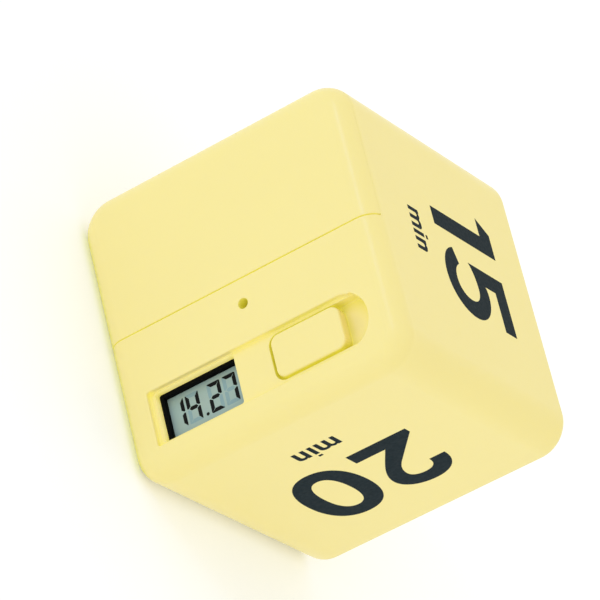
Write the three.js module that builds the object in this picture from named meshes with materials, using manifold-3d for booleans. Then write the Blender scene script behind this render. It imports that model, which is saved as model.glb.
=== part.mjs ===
// A flip timer: a small plastic cube that counts down the minutes printed on the face that is up.
// The display face is the front (-Y). The half of it with the display and the switch is one moulding
// with the battery tray. The other half is a cover that slides off to the left over two cells.
//
// Pieces are drawn as seen from the front: x to the right, y up from the underside,
// and depths are measured back from the front face. standUp() turns them to the part's frame,
// which is X right, Y back, Z up, with its origin under the middle of the cube.

import * as THREE from 'three';
import { mergeVertices } from 'three/addons/utils/BufferGeometryUtils.js';
import Module from 'manifold-3d';

const wasm = await Module();
wasm.setup();

// Case
const cubeSize = 66;
const cornerRadius = 7.4;
const frontRadius = 4.2;
const backRadius = 2.5;
const caseWall = 2.2;
const panelSkin = 2.4;
const coverSkin = 1.5;
const lidDepth = 3.2;
const registerHeight = 1.4;
const registerWidth = 2.0;
const partingGap = 0.15;

// Clearances: fitGap beside a piece, seatGap where one rests on another, slideGap beside what slides.
// bond is how far the blocks of one moulding reach into each other.
const fitGap = 0.1;
const seatGap = 0.05;
const slideGap = 0.35;
const bond = 0.2;

// Recess across the display half, square at its lower end and round at its upper end
const recessEndMargin = 6.9;
const recessWidth = 12.25;
const recessDepth = 1.2;
const recessFloor = 1.8;
const recessEdgeMargin = 7.15;

// Display
const windowKnobSpacing = 8.95;
const windowWidth = 11.15;
const windowEndMargin = 1.2;
const gasketLip = 0.85;
const gasketRim = 1.15;
const gasketThickness = 1.25;
const glassThickness = 2.65;
const frameWall = 1.2;
const frameLedge = 1.6;
const frameLedgeThickness = 1.1;
const zebraWidth = 2.0;

// Sound hole and sounder
const soundHoleRadius = 1.15;
const soundHoleX = 5.5;
const buzzerRadius = 4.8;
const buzzerHeight = 4.8;
const buzzerOffset = 1.1;
const buzzerMouthRadius = 1.1;
const buzzerMouthDepth = 1.5;

// Switch
const knobLength = 16.3;
const knobWidth = 9.6;
const knobRadius = 2.0;
const knobSoftening = 0.45;
const knobTopDepth = 0.6;
const slotLead = 0.7;
const slotEndMargin = 2.4;
const slotDepth = 3.6;
const slotFloor = 1.4;
const slotWall = 1.35;
const switchTravel = 4.0;
const stemOffset = 6.6;
const stemWidth = 3.8;
const stemLength = 4.0;
const stemReach = 2.4;
const leverWidth = 1.9;
const leverRise = 1.7;
const leverFoot = 0.8;
const leverFootRim = 0.45;
const canLength = 11.0;
const canWidth = 4.6;
const canHeight = 3.5;
const canSheet = 0.4;
const switchBaseThickness = 0.9;

// Circuit board and what it carries
const boardDepth = 9.9;
const boardThickness = 1.6;
const boardEdgeMargin = 1.2;
const boardEndMargin = 5.0;
const boardLeadMargin = 1.9;
const bossRadius = 2.0;
const bossHoleRadius = 1.05;
const bossHoleDepth = 6.0;
const blobRadius = 5.0;
const blobHeight = 1.6;
const crystalRadius = 1.0;
const crystalLength = 6.0;
const capacitorRadius = 2.5;
const capacitorHeight = 6.0;
const resistorLength = 2.0;
const resistorWidth = 1.25;
const resistorHeight = 0.5;
const resistorPitch = 3.2;

// Tilt sensor
const sensorSize = 7.4;
const sensorHeight = 4.6;
const sensorCapThickness = 0.6;
const ballRadius = 1.45;
const ballCage = 4.6;
const ballCageDepth = 3.3;

// Screws
const screwRadius = 0.95;
const screwHeadRadius = 2.0;
const screwHeadHeight = 1.3;
const screwLength = 7.0;
const screwCrossLength = 2.2;
const screwCrossWidth = 0.5;
const screwCrossDepth = 0.6;
const caseScrewSpacing = 38.3;
const postRadius = 2.6;
const postRib = 1.2;

// Battery bay. It takes two cells 44.5 long and 10.5 across.
const postClearance = 1.0;
const railRoom = 4.975;
const cellClearance = 0.15;
const cellGap = 1.275;
const nubRadius = 1.9;
const nubHeight = 1.0;
const cellBevel = 0.5;
const trayWall = 1.3;
const trayFloor = 1.6;
const plateThickness = 0.4;
const plateSideMargin = 1.25;
const plateEdgeMargin = 0.75;
const lugWidth = 2.0;
const lugThickness = 0.5;
const lugReach = 1.6;
const springLength = 3.45;
const springWireRadius = 0.25;
const springNarrowRadius = 2.2;
const springWideRadius = 3.6;
const springTurns = 3;
const wireRadius = 0.55;

// Cover rails, tongue and the hooks of the display half, as shares of the room they stand in
const railLegShare = 0.23;
const ledgeReachShare = 0.42;
const railGapShare = 0.08;
const railOverlapShare = 0.2;
const railLengthShare = 0.9;
const ledgeThickness = 0.7;
const railFootThickness = 0.6;
const tongueLength = 26;
const tongueReach = 1.9;
const tongueThickness = 0.7;
const tongueRoot = 3.0;
const hookLength = 7.0;
const hookThickness = 1.3;
const hookReach = 3.3;
const hookBump = 0.7;
const hookBumpHeight = 1.2;
const hookSpacing = 34;
const railEndGap = 2.0;

// Facet counts
const cornerSteps = 8;
const rimSteps = 6;
const roundSides = 24;
const smallSides = 16;
const wireSides = 8;
const wireSteps = 22;
const coilSides = 5;
const coilSteps = 8;
const overrun = 1;
const weldDistance = 1e-5;

// Places worked out from the sizes above
const half = cubeSize / 2;
const recessX = half - recessEdgeMargin - recessWidth / 2;
const recessBottom = recessEndMargin;
const recessTop = cubeSize - recessEndMargin;
const recessBack = recessDepth + recessFloor;
const windowBottom = recessBottom + windowEndMargin;
const knobTop = recessTop - slotEndMargin - switchTravel;
const knobBottom = knobTop - knobLength;
const windowTop = knobBottom - windowKnobSpacing;
const windowLeft = recessX - windowWidth / 2;
const windowRight = recessX + windowWidth / 2;
const gasketDepth = recessBack + seatGap;
const glassDepth = gasketDepth + gasketThickness + seatGap;
const glassBack = glassDepth + glassThickness;
const boardFront = boardDepth;
const boardBack = boardFront + boardThickness;
const boardLeft = boardLeadMargin;
const boardRight = half - caseWall - boardEdgeMargin;
const boardBottom = boardEndMargin;
const boardTop = cubeSize - boardEndMargin;
const registerDepth = lidDepth + registerHeight;
const registerInset = caseWall / 2;
const lipInset = registerInset + fitGap;
const lipInnerInset = lipInset + registerWidth;
const coverDepth = lidDepth - seatGap;
const coverEnd = -partingGap / 2;
const panelStart = partingGap / 2;
const slotWidth = knobWidth + 2 * slideGap;
const slotBottom = knobBottom - slotLead;
const slotBack = slotDepth + slotFloor;
const knobBack = slotDepth - fitGap;
const stemY = knobBottom + stemOffset;
const stemBack = knobBack + stemReach;
const switchY = stemY + switchTravel / 2;
const bayRight = panelStart + fitGap;
const bayLeft = -half + caseWall + 2 * (postRadius + postClearance) + trayWall;
const bayBottom = caseWall + railRoom + trayWall;
const bayTop = cubeSize - bayBottom;
const cellLength = bayTop - bayBottom - springLength - 2 * plateThickness - 6 * seatGap;
const cellRadius = (bayRight - bayLeft - 2 * fitGap - cellGap) / 4;
const cellDepth = lidDepth + cellClearance + cellRadius;
const bayFloor = cellDepth + cellRadius + fitGap;
const trayBack = bayFloor + trayFloor;
const trayLeft = bayLeft - trayWall;
const trayRight = bayRight + trayWall;
const trayBottom = bayBottom - trayWall;
const trayTop = bayTop + trayWall;
const nearCellX = bayRight - fitGap - cellRadius;
const farCellX = bayLeft + fitGap + cellRadius;
const plateWidth = 2 * (cellRadius - plateSideMargin);
const plateHeight = 2 * (cellRadius - plateEdgeMargin);
const ledgeDepth = coverSkin + 2 * fitGap;
const caseScrewX = (trayLeft - half + caseWall) / 2;

// Basic solids

function closed(geometry) {
  geometry.deleteAttribute('normal');
  if (geometry.attributes.uv) {
    geometry.deleteAttribute('uv');
  }
  const merged = mergeVertices(geometry, weldDistance);
  const vertProperties = new Float32Array(merged.attributes.position.array);
  const triVerts = new Uint32Array(merged.index.array);
  return new wasm.Manifold(new wasm.Mesh({ numProp: 3, vertProperties, triVerts }));
}

function block(left, right, bottom, top, near, far) {
  const geometry = new THREE.BoxGeometry(right - left, top - bottom, far - near);
  geometry.translate((left + right) / 2, (bottom + top) / 2, -(near + far) / 2);
  return closed(geometry);
}

// A slab between two depths, from an outline in the plane of the front face.
function slab(outline, near, far) {
  const geometry = new THREE.ExtrudeGeometry(new THREE.Shape(outline), {
    depth: far - near,
    bevelEnabled: false,
  });
  geometry.translate(0, 0, -far);
  return closed(geometry);
}

// A solid of revolution whose axis runs straight back; profile points are (radius, depth).
function turned(profile, x, y, sides = roundSides) {
  const points = profile.map(([radius, depth]) => new THREE.Vector2(radius, -depth));
  if (points[0].y > points[points.length - 1].y) {
    points.reverse();
  }
  const geometry = new THREE.LatheGeometry(points, sides);
  geometry.applyMatrix4(new THREE.Matrix4().set(1, 0, 0, 0, 0, 0, -1, 0, 0, 1, 0, 0, 0, 0, 0, 1));
  geometry.translate(x, y, 0);
  return closed(geometry);
}

function rod(radius, x, y, near, far, sides = roundSides) {
  return turned([[0, near], [radius, near], [radius, far], [0, far]], x, y, sides);
}

// Joins rings of equal point count into one closed skin; each ring is { outline, depth }, front first.
function loft(rings) {
  const count = rings[0].outline.length;
  const positions = [];
  for (const ring of rings) {
    for (const point of ring.outline) {
      positions.push(point.x, point.y, -ring.depth);
    }
  }
  const indices = [];
  for (let ring = 0; ring < rings.length - 1; ring += 1) {
    for (let i = 0; i < count; i += 1) {
      const next = (i + 1) % count;
      const a = ring * count + i;
      const b = ring * count + next;
      const c = a + count;
      const d = b + count;
      indices.push(a, c, b, b, c, d);
    }
  }
  const last = (rings.length - 1) * count;
  for (const [a, b, c] of THREE.ShapeUtils.triangulateShape(rings[0].outline, [])) {
    indices.push(a, b, c);
  }
  for (const [a, b, c] of THREE.ShapeUtils.triangulateShape(rings[rings.length - 1].outline, [])) {
    indices.push(last + a, last + c, last + b);
  }
  const geometry = new THREE.BufferGeometry();
  geometry.setAttribute('position', new THREE.Float32BufferAttribute(positions, 3));
  geometry.setIndex(indices);
  return closed(geometry);
}

// Outlines

function arc(centreX, centreY, radius, from, to, steps) {
  const points = [];
  for (let i = 0; i <= steps; i += 1) {
    const angle = from + ((to - from) * i) / steps;
    points.push(new THREE.Vector2(centreX + radius * Math.cos(angle), centreY + radius * Math.sin(angle)));
  }
  return points;
}

function roundedRectangle(left, right, bottom, top, radius, steps = cornerSteps) {
  const quarter = Math.PI / 2;
  return [
    ...arc(right - radius, bottom + radius, radius, -quarter, 0, steps),
    ...arc(right - radius, top - radius, radius, 0, quarter, steps),
    ...arc(left + radius, top - radius, radius, quarter, 2 * quarter, steps),
    ...arc(left + radius, bottom + radius, radius, 2 * quarter, 3 * quarter, steps),
  ];
}

function cubeOutline(inset) {
  return roundedRectangle(-half + inset, half - inset, inset, cubeSize - inset, cornerRadius - inset);
}

// The recess outline grown by a margin: square at its lower end, a half circle at its upper end.
function recessOutline(margin) {
  const radius = recessWidth / 2 + margin;
  return [
    new THREE.Vector2(recessX - radius, recessBottom - margin),
    new THREE.Vector2(recessX + radius, recessBottom - margin),
    ...arc(recessX, recessTop - recessWidth / 2, radius, 0, Math.PI, 2 * cornerSteps),
  ];
}

// The whole rounded cube
function roundedCube() {
  const rings = [];
  for (let i = 0; i <= rimSteps; i += 1) {
    const angle = ((i / rimSteps) * Math.PI) / 2;
    rings.push({
      outline: cubeOutline(frontRadius * (1 - Math.sin(angle))),
      depth: frontRadius * (1 - Math.cos(angle)),
    });
  }
  for (let i = rimSteps; i >= 0; i -= 1) {
    const angle = ((i / rimSteps) * Math.PI) / 2;
    rings.push({
      outline: cubeOutline(backRadius * (1 - Math.sin(angle))),
      depth: cubeSize - backRadius * (1 - Math.cos(angle)),
    });
  }
  return loft(rings);
}

const cube = roundedCube();

function halfSpace(left, right, near, far) {
  return block(left, right, -overrun, cubeSize + overrun, near, far);
}

const caseScrewPlaces = [half - caseScrewSpacing / 2, half + caseScrewSpacing / 2];
const hookPlaces = [half - hookSpacing / 2, half + hookSpacing / 2];

// Five-sided casing, open at the front, with a step that locates the lid and two screw posts
function mainShell() {
  let shell = cube.intersect(halfSpace(-half - overrun, half + overrun, lidDepth, cubeSize + overrun));
  const backInside = cubeSize - caseWall;
  shell = shell.subtract(slab(cubeOutline(caseWall), lidDepth - overrun, backInside));
  shell = shell.subtract(slab(cubeOutline(registerInset), lidDepth - overrun, registerDepth));
  for (const y of caseScrewPlaces) {
    const near = registerDepth + seatGap;
    const far = backInside + caseWall / 2;
    shell = shell.add(rod(postRadius, caseScrewX, y, near, far));
    shell = shell.add(
      block(-half + caseWall / 2, caseScrewX, y - postRib / 2, y + postRib / 2, near, far),
    );
    shell = shell.subtract(
      rod(bossHoleRadius, caseScrewX, y, near - overrun, near + screwLength, smallSides),
    );
  }
  for (const y of hookPlaces) {
    const groove = hookLength / 2 + fitGap;
    const near = registerDepth + hookReach - hookBumpHeight - 2 * fitGap;
    const far = near + hookBumpHeight + 4 * fitGap;
    const wallInside = half - caseWall;
    shell = shell.subtract(
      block(wallInside - overrun, wallInside + hookBump + fitGap, y - groove, y + groove, near, far),
    );
  }
  return shell;
}

// Battery tray: one bay for both cells, with ledges outside its end walls that the cover's rails hook under
function batteryTray() {
  const ledgeRight = bayRight - railEndGap;
  const ledgeReach = railRoom * ledgeReachShare;
  let tray = block(trayLeft, trayRight, trayBottom, trayTop, ledgeDepth, trayBack);
  tray = tray.add(
    block(trayLeft, ledgeRight, trayBottom - ledgeReach, trayTop + ledgeReach,
      ledgeDepth, ledgeDepth + ledgeThickness),
  );
  tray = tray.add(lidFlange());
  tray = tray.subtract(block(bayLeft, bayRight, bayBottom, bayTop, -overrun, bayFloor));

  // The tongue passes over the far wall when the cover comes off
  const tongueHalf = tongueLength / 2 + slideGap;
  tray = tray.subtract(
    block(trayLeft - overrun, bayLeft + overrun, half - tongueHalf, half + tongueHalf, 0, lidDepth),
  );

  // Slots for the lugs of the two end plates
  for (const x of [nearCellX, farCellX]) {
    const width = lugWidth / 2 + fitGap;
    const near = cellDepth + lugWidth / 2 - fitGap;
    const far = cellDepth + lugWidth / 2 + lugThickness + fitGap;
    tray = tray.subtract(block(x - width, x + width, bayTop - overrun, trayTop + overrun, near, far));
  }
  return tray;
}

// Flange that drops into the casing's step: a ring behind the display half, a full floor under the cover
function lidFlange() {
  const flange = slab(cubeOutline(lipInset), lidDepth, registerDepth);
  const bonded = slab(cubeOutline(lipInset), lidDepth - bond, registerDepth);
  return flange.add(bonded.intersect(halfSpace(0, half, 0, cubeSize)));
}

// Display half of the front face, one moulding with the battery tray, board bosses and hooks
function frontPanel() {
  let panel = cube.intersect(halfSpace(panelStart, half + overrun, -overrun, lidDepth));
  panel = panel.add(batteryTray());
  const hollow = slab(cubeOutline(lipInnerInset), panelSkin, registerDepth + overrun);
  panel = panel.subtract(hollow.intersect(halfSpace(trayRight + bond, half, 0, cubeSize)));

  // Room for the cover's tongue under the edge of the skin
  const tongueHalf = tongueLength / 2 + slideGap;
  const tongueFar = coverSkin + fitGap + tongueThickness + slideGap;
  panel = panel.subtract(
    block(-overrun, tongueReach + fitGap, half - tongueHalf, half + tongueHalf, coverSkin, tongueFar),
  );

  // Recess, display window and switch pocket
  panel = panel.add(slab(recessOutline(frameWall), panelSkin - bond, recessBack));
  const pocketHalf = slotWidth / 2 + slotWall;
  const pocketBlock = slab(recessOutline(slotWall), panelSkin - bond, slotBack);
  panel = panel.add(
    pocketBlock.intersect(
      block(recessX - pocketHalf, recessX + pocketHalf, slotBottom - slotWall, cubeSize, 0, cubeSize),
    ),
  );
  const slot = slab(recessOutline(0), 0, slotDepth).intersect(
    block(recessX - slotWidth / 2, recessX + slotWidth / 2, slotBottom, cubeSize, -overrun, cubeSize),
  );
  panel = panel.subtract(slot.add(slab(recessOutline(0), -overrun, recessDepth)));
  panel = panel.subtract(block(windowLeft, windowRight, windowBottom, windowTop, 0, recessBack + overrun));
  const stemHalfWidth = stemWidth / 2 + slideGap / 2;
  const stemHalfLength = stemLength / 2 + slideGap / 2;
  panel = panel.subtract(
    block(recessX - stemHalfWidth, recessX + stemHalfWidth, stemY - stemHalfLength,
      stemY + switchTravel + stemHalfLength, recessDepth, slotBack + overrun),
  );

  panel = panel.subtract(rod(soundHoleRadius, soundHoleX, half, -overrun, panelSkin + overrun, smallSides));

  // Bosses that carry the board
  for (const [x, y] of boardScrewPlaces) {
    panel = panel.add(rod(bossRadius, x, y, panelSkin - bond, boardFront - seatGap));
    panel = panel.subtract(
      rod(bossHoleRadius, x, y, boardFront - bossHoleDepth, boardFront + overrun, smallSides),
    );
  }

  // Holes for the two case screws, in the floor under the cover
  for (const y of caseScrewPlaces) {
    panel = panel.subtract(
      rod(bossHoleRadius, caseScrewX, y, lidDepth - overrun, registerDepth + overrun, smallSides),
    );
  }

  // Hooks that spring into the casing's right wall
  for (const y of hookPlaces) {
    const right = half - caseWall - fitGap;
    const far = registerDepth + hookReach;
    const low = y - hookLength / 2;
    const high = y + hookLength / 2;
    let hook = block(right - hookThickness, right, low, high, lidDepth - bond, far);
    hook = hook.add(block(right - bond, right + hookBump, low, high, far - hookBumpHeight, far - bond));
    panel = panel.add(hook);
  }
  return panel;
}

// Sliding half of the front face: two L rails hold it on the tray's ledges, a tongue under the display half
function batteryCover() {
  let cover = cube.intersect(halfSpace(-half - overrun, coverEnd, -overrun, coverDepth));
  cover = cover.subtract(slab(cubeOutline(caseWall), coverSkin, lidDepth + overrun));
  const legThickness = railRoom * railLegShare;
  const ledgeReach = railRoom * ledgeReachShare;
  const legInner = trayBottom - ledgeReach - railRoom * railGapShare;
  const footInner = trayBottom - ledgeReach + railRoom * railOverlapShare;
  const footNear = ledgeDepth + ledgeThickness + fitGap;
  const footFar = Math.min(footNear + railFootThickness, coverDepth);
  const right = bayRight - railEndGap;
  const left = right + (trayLeft - right) * railLengthShare;
  for (const mirrored of [false, true]) {
    const flip = (y) => (mirrored ? cubeSize - y : y);
    const piece = (from, to, near, far) =>
      block(left, right, Math.min(flip(from), flip(to)), Math.max(flip(from), flip(to)), near, far);
    cover = cover.add(piece(legInner - legThickness, legInner, coverSkin - bond, footFar));
    cover = cover.add(piece(legInner - bond, footInner, footNear, footFar - bond / 2));
  }
  const tongueNear = coverSkin + fitGap;
  const tongueFar = tongueNear + tongueThickness;
  const low = half - tongueLength / 2;
  const high = half + tongueLength / 2;
  cover = cover.add(
    block(-tongueRoot, coverEnd - bond, low, high, coverSkin - bond, tongueFar + bond),
  );
  return cover.add(
    block(-tongueRoot + bond, tongueReach, low + bond, high - bond, tongueNear, tongueFar),
  );
}

// Switch knob: a softened block with a socketed stem that reaches through the pocket floor
function switchKnob() {
  const left = recessX - knobWidth / 2;
  const right = recessX + knobWidth / 2;
  const rings = [];
  const softSteps = rimSteps / 2;
  for (let i = 0; i <= softSteps; i += 1) {
    const angle = ((i / softSteps) * Math.PI) / 2;
    const inset = knobSoftening * (1 - Math.sin(angle));
    rings.push({
      outline: roundedRectangle(
        left + inset, right - inset, knobBottom + inset, knobTop - inset, knobRadius - inset, rimSteps),
      depth: knobTopDepth + knobSoftening * (1 - Math.cos(angle)),
    });
  }
  rings.push({
    outline: roundedRectangle(left, right, knobBottom, knobTop, knobRadius, rimSteps),
    depth: knobBack,
  });
  let knob = loft(rings);
  knob = knob.add(
    block(recessX - stemWidth / 2, recessX + stemWidth / 2, stemY - stemLength / 2, stemY + stemLength / 2,
      knobBack - bond, stemBack),
  );
  const socket = leverWidth / 2 + fitGap;
  return knob.subtract(
    block(recessX - socket, recessX + socket, stemY - socket, stemY + socket,
      stemBack - leverRise - fitGap, stemBack + overrun),
  );
}

// Slide switch on the board under the knob
const canFront = boardFront - seatGap - canHeight;
const leverFootBack = boardFront - seatGap - switchBaseThickness - seatGap;

function switchCan() {
  const left = recessX - canWidth / 2;
  const right = recessX + canWidth / 2;
  const low = switchY - canLength / 2;
  const high = switchY + canLength / 2;
  const far = boardFront - seatGap;
  const inside = block(left + canSheet, right - canSheet, low + canSheet, high - canSheet,
    canFront + canSheet, far + overrun);
  const slotHalfWidth = leverWidth / 2 + fitGap;
  const slotHalfLength = slotHalfWidth + switchTravel / 2;
  const slot = block(recessX - slotHalfWidth, recessX + slotHalfWidth, switchY - slotHalfLength,
    switchY + slotHalfLength, canFront - overrun, canFront + 2 * canSheet);
  return block(left, right, low, high, canFront, far).subtract(inside).subtract(slot);
}

function switchBase() {
  const halfWidth = canWidth / 2 - canSheet - fitGap;
  const halfLength = canLength / 2 - canSheet - fitGap;
  const far = boardFront - seatGap;
  return block(recessX - halfWidth, recessX + halfWidth, switchY - halfLength, switchY + halfLength,
    far - switchBaseThickness, far);
}

function switchLever() {
  const size = leverWidth / 2;
  const foot = size + leverFootRim;
  const stick = block(recessX - size, recessX + size, stemY - size, stemY + size,
    stemBack - leverRise, leverFootBack);
  return stick.add(
    block(recessX - foot, recessX + foot, stemY - foot, stemY + foot,
      leverFootBack - leverFoot, leverFootBack),
  );
}

// Display glass, its gasket, the frame that holds them and the connector to the board
const glassLeft = windowLeft - gasketRim;
const glassRight = windowRight + gasketRim;
const glassBottom = windowBottom - gasketRim;
const glassTop = windowTop + gasketRim;

function lcdGasket() {
  const far = gasketDepth + gasketThickness;
  const gasket = block(glassLeft, glassRight, glassBottom, glassTop, gasketDepth, far);
  return gasket.subtract(
    block(windowLeft + gasketLip, windowRight - gasketLip, windowBottom + gasketLip, windowTop - gasketLip,
      gasketDepth - overrun, far + overrun),
  );
}

function lcdPanel() {
  return block(glassLeft, glassRight, glassBottom, glassTop, glassDepth, glassBack);
}

function lcdFrame() {
  const inner = fitGap;
  const outer = fitGap + frameWall;
  const near = recessBack + seatGap;
  const far = boardFront - seatGap;
  const ledgeNear = glassBack + seatGap;
  let frame = block(glassLeft - outer, glassRight + outer, glassBottom - outer, glassTop + outer, near, far);
  frame = frame.subtract(
    block(glassLeft - inner, glassRight + inner, glassBottom - inner, glassTop + inner,
      near - overrun, ledgeNear),
  );
  frame = frame.subtract(
    block(glassLeft + frameLedge, glassRight - frameLedge, glassBottom + frameLedge, glassTop - frameLedge,
      near, far + overrun),
  );
  // Behind the ledge the frame is hollow again, and its left side has the slot of the connector
  frame = frame.subtract(
    block(glassLeft, glassRight, glassBottom, glassTop, ledgeNear + frameLedgeThickness, far + overrun),
  );
  return frame.subtract(
    block(glassLeft, glassLeft + zebraWidth + 2 * fitGap, glassBottom, glassTop, near, far + overrun),
  );
}

function zebraStrip() {
  return block(glassLeft + fitGap, glassLeft + fitGap + zebraWidth, glassBottom + fitGap, glassTop - fitGap,
    glassBack + seatGap, boardFront - seatGap);
}

// Circuit board with its screw holes
const boardScrewPlaces = [
  [boardLeft + bossRadius + fitGap, boardBottom + 2 * bossRadius],
  [boardLeft + bossRadius + fitGap, boardTop - 2 * bossRadius],
  [recessX + knobWidth / 2, (glassTop + fitGap + frameWall + slotBottom - slotWall) / 2],
];

function mainBoard() {
  let board = block(boardLeft, boardRight, boardBottom, boardTop, boardFront, boardBack);
  for (const [x, y] of boardScrewPlaces) {
    board = board.subtract(rod(bossHoleRadius, x, y, boardFront - overrun, boardBack + overrun, smallSides));
  }
  return board;
}

const boardSeat = boardBack + seatGap;
const resistorY = boardScrewPlaces[2][1] - screwHeadRadius - resistorLength;

function chipBlob(x, y) {
  const profile = [[0, boardSeat]];
  for (let i = 0; i <= rimSteps; i += 1) {
    const angle = ((i / rimSteps) * Math.PI) / 2;
    const radius = i === rimSteps ? 0 : blobRadius * Math.cos(angle);
    profile.push([radius, boardSeat + blobHeight * Math.sin(angle)]);
  }
  return turned(profile, x, y);
}

function crystal(x, y) {
  const geometry = new THREE.CylinderGeometry(crystalRadius, crystalRadius, crystalLength, smallSides);
  geometry.translate(x, y, -(boardSeat + crystalRadius));
  return closed(geometry);
}

function resistor(x, y) {
  return block(x - resistorWidth / 2, x + resistorWidth / 2, y - resistorLength / 2, y + resistorLength / 2,
    boardSeat, boardSeat + resistorHeight);
}

function buzzer() {
  const far = boardFront - seatGap;
  const near = far - buzzerHeight;
  return turned([
    [0, near + buzzerMouthDepth],
    [buzzerMouthRadius, near + buzzerMouthDepth],
    [buzzerMouthRadius, near],
    [buzzerRadius, near],
    [buzzerRadius, far],
    [0, far],
  ], soundHoleX + buzzerOffset, half);
}

// Ball sensor on the back of the board: the ball falls to the lowest corner of a diamond-shaped cage
const sensorX = (boardLeft + boardRight) / 2 - sensorSize / 2;
const sensorY = boardBottom + 2 * sensorSize;
const cageReach = ballCage / Math.SQRT2;
const ballTravel = 2 * (cageReach - ballRadius * Math.SQRT2 - fitGap);
const cageBack = boardSeat + sensorHeight;

function tiltSensorCase() {
  const size = sensorSize / 2;
  const body = block(sensorX - size, sensorX + size, sensorY - size, sensorY + size, boardSeat, cageBack);
  const diamond = [
    new THREE.Vector2(sensorX, sensorY - cageReach),
    new THREE.Vector2(sensorX + cageReach, sensorY),
    new THREE.Vector2(sensorX, sensorY + cageReach),
    new THREE.Vector2(sensorX - cageReach, sensorY),
  ];
  return body.subtract(slab(diamond, cageBack - ballCageDepth, cageBack + overrun));
}

function tiltSensorCap() {
  const size = sensorSize / 2;
  const near = cageBack + seatGap;
  return block(sensorX - size, sensorX + size, sensorY - size, sensorY + size,
    near, near + sensorCapThickness);
}

function tiltBall() {
  const geometry = new THREE.SphereGeometry(ballRadius, smallSides, smallSides / 2);
  geometry.translate(sensorX, sensorY - ballTravel / 2, -(cageBack - ballCageDepth / 2));
  return closed(geometry);
}

// A cross-headed screw that goes in towards larger or smaller depths from where its head sits
function screw(x, y, headSeat, direction, length) {
  const depth = (distance) => headSeat + direction * distance;
  const profile = [
    [0, depth(-screwHeadHeight)],
    [screwHeadRadius, depth(-screwHeadHeight)],
    [screwHeadRadius, depth(0)],
    [screwRadius, depth(0)],
    [screwRadius, depth(length - screwRadius)],
    [0, depth(length)],
  ];
  let body = turned(profile, x, y, smallSides);
  const crossNear = depth(-screwHeadHeight - overrun);
  const crossFar = depth(-screwHeadHeight + screwCrossDepth);
  for (const [wide, tall] of [[screwCrossLength, screwCrossWidth], [screwCrossWidth, screwCrossLength]]) {
    body = body.subtract(
      block(x - wide / 2, x + wide / 2, y - tall / 2, y + tall / 2,
        Math.min(crossNear, crossFar), Math.max(crossNear, crossFar)),
    );
  }
  return body;
}

// Cells lie along y; direction 1 has the positive nub at the upper end.
const nearCellBottom = bayBottom + plateThickness + springLength + 3 * seatGap;
const farCellBottom = bayBottom + plateThickness + 2 * seatGap;

function cell(x, bottom, direction) {
  const body = cellLength - nubHeight;
  const profile = [
    [0, 0],
    [cellRadius - cellBevel, 0],
    [cellRadius, cellBevel],
    [cellRadius, body - cellBevel],
    [cellRadius - cellBevel, body],
    [nubRadius, body],
    [nubRadius, cellLength],
    [0, cellLength],
  ].map(([radius, height]) => new THREE.Vector2(radius, height));
  const geometry = new THREE.LatheGeometry(profile, roundSides);
  if (direction < 0) {
    geometry.applyMatrix4(
      new THREE.Matrix4().set(-1, 0, 0, 0, 0, -1, 0, cellLength, 0, 0, 1, 0, 0, 0, 0, 1),
    );
  }
  geometry.translate(x, bottom, -cellDepth);
  return closed(geometry);
}

// Spring plate across both cells at the lower end, and one plate with a lug for each cell at the upper end
function bridgePlate() {
  const bottom = bayBottom + seatGap;
  return block(farCellX - plateWidth / 2, nearCellX + plateWidth / 2, bottom, bottom + plateThickness,
    cellDepth - plateHeight / 2, cellDepth + plateHeight / 2);
}

function endPlate(x) {
  const top = bayTop - seatGap;
  const near = cellDepth + lugWidth / 2;
  const plate = block(x - plateWidth / 2, x + plateWidth / 2, top - plateThickness, top,
    cellDepth - plateHeight / 2, cellDepth + plateHeight / 2);
  return plate.add(
    block(x - lugWidth / 2, x + lugWidth / 2, top - plateThickness / 2, trayTop + lugReach,
      near, near + lugThickness),
  );
}

// A conical compression spring as one unbroken wire, from its wide end at wideY to its narrow end
function coneSpring(x, wideY, direction) {
  const total = springTurns * coilSteps;
  const run = springLength - 2 * springWireRadius;
  const centre = (t) => {
    const angle = 2 * Math.PI * springTurns * t;
    const radius = springWideRadius + (springNarrowRadius - springWideRadius) * t;
    return new THREE.Vector3(
      x + radius * Math.cos(angle),
      wideY + direction * (springWireRadius + run * t),
      -cellDepth + radius * Math.sin(angle),
    );
  };
  const step = 1 / total;
  const positions = [];
  const centres = [];
  for (let i = 0; i <= total; i += 1) {
    const t = i / total;
    const point = centre(t);
    const along = centre(t + step / 2).sub(centre(t - step / 2)).normalize();
    const outward = new THREE.Vector3(point.x - x, 0, point.z + cellDepth).normalize();
    outward.addScaledVector(along, -outward.dot(along)).normalize();
    const side = new THREE.Vector3().crossVectors(along, outward);
    centres.push(point);
    for (let k = 0; k < coilSides; k += 1) {
      const angle = (2 * Math.PI * k) / coilSides;
      const spoke = outward.clone().multiplyScalar(Math.cos(angle)).addScaledVector(side, Math.sin(angle));
      positions.push(...point.clone().addScaledVector(spoke, springWireRadius).toArray());
    }
  }
  const indices = [];
  for (let i = 0; i < total; i += 1) {
    for (let k = 0; k < coilSides; k += 1) {
      const a = i * coilSides + k;
      const b = i * coilSides + ((k + 1) % coilSides);
      indices.push(a, b, a + coilSides, b, b + coilSides, a + coilSides);
    }
  }
  const last = total * coilSides;
  for (let k = 1; k < coilSides - 1; k += 1) {
    indices.push(0, k + 1, k);
    indices.push(last, last + k, last + k + 1);
  }
  const geometry = new THREE.BufferGeometry();
  geometry.setAttribute('position', new THREE.Float32BufferAttribute(positions, 3));
  geometry.setIndex(indices);
  let least = Infinity;
  for (let i = 0; i < centres.length; i += 1) {
    for (let j = i + coilSteps - 1; j < centres.length; j += 1) {
      least = Math.min(least, centres[i].distanceTo(centres[j]) - 2 * springWireRadius);
    }
  }
  return { solid: closed(geometry), least };
}

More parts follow.
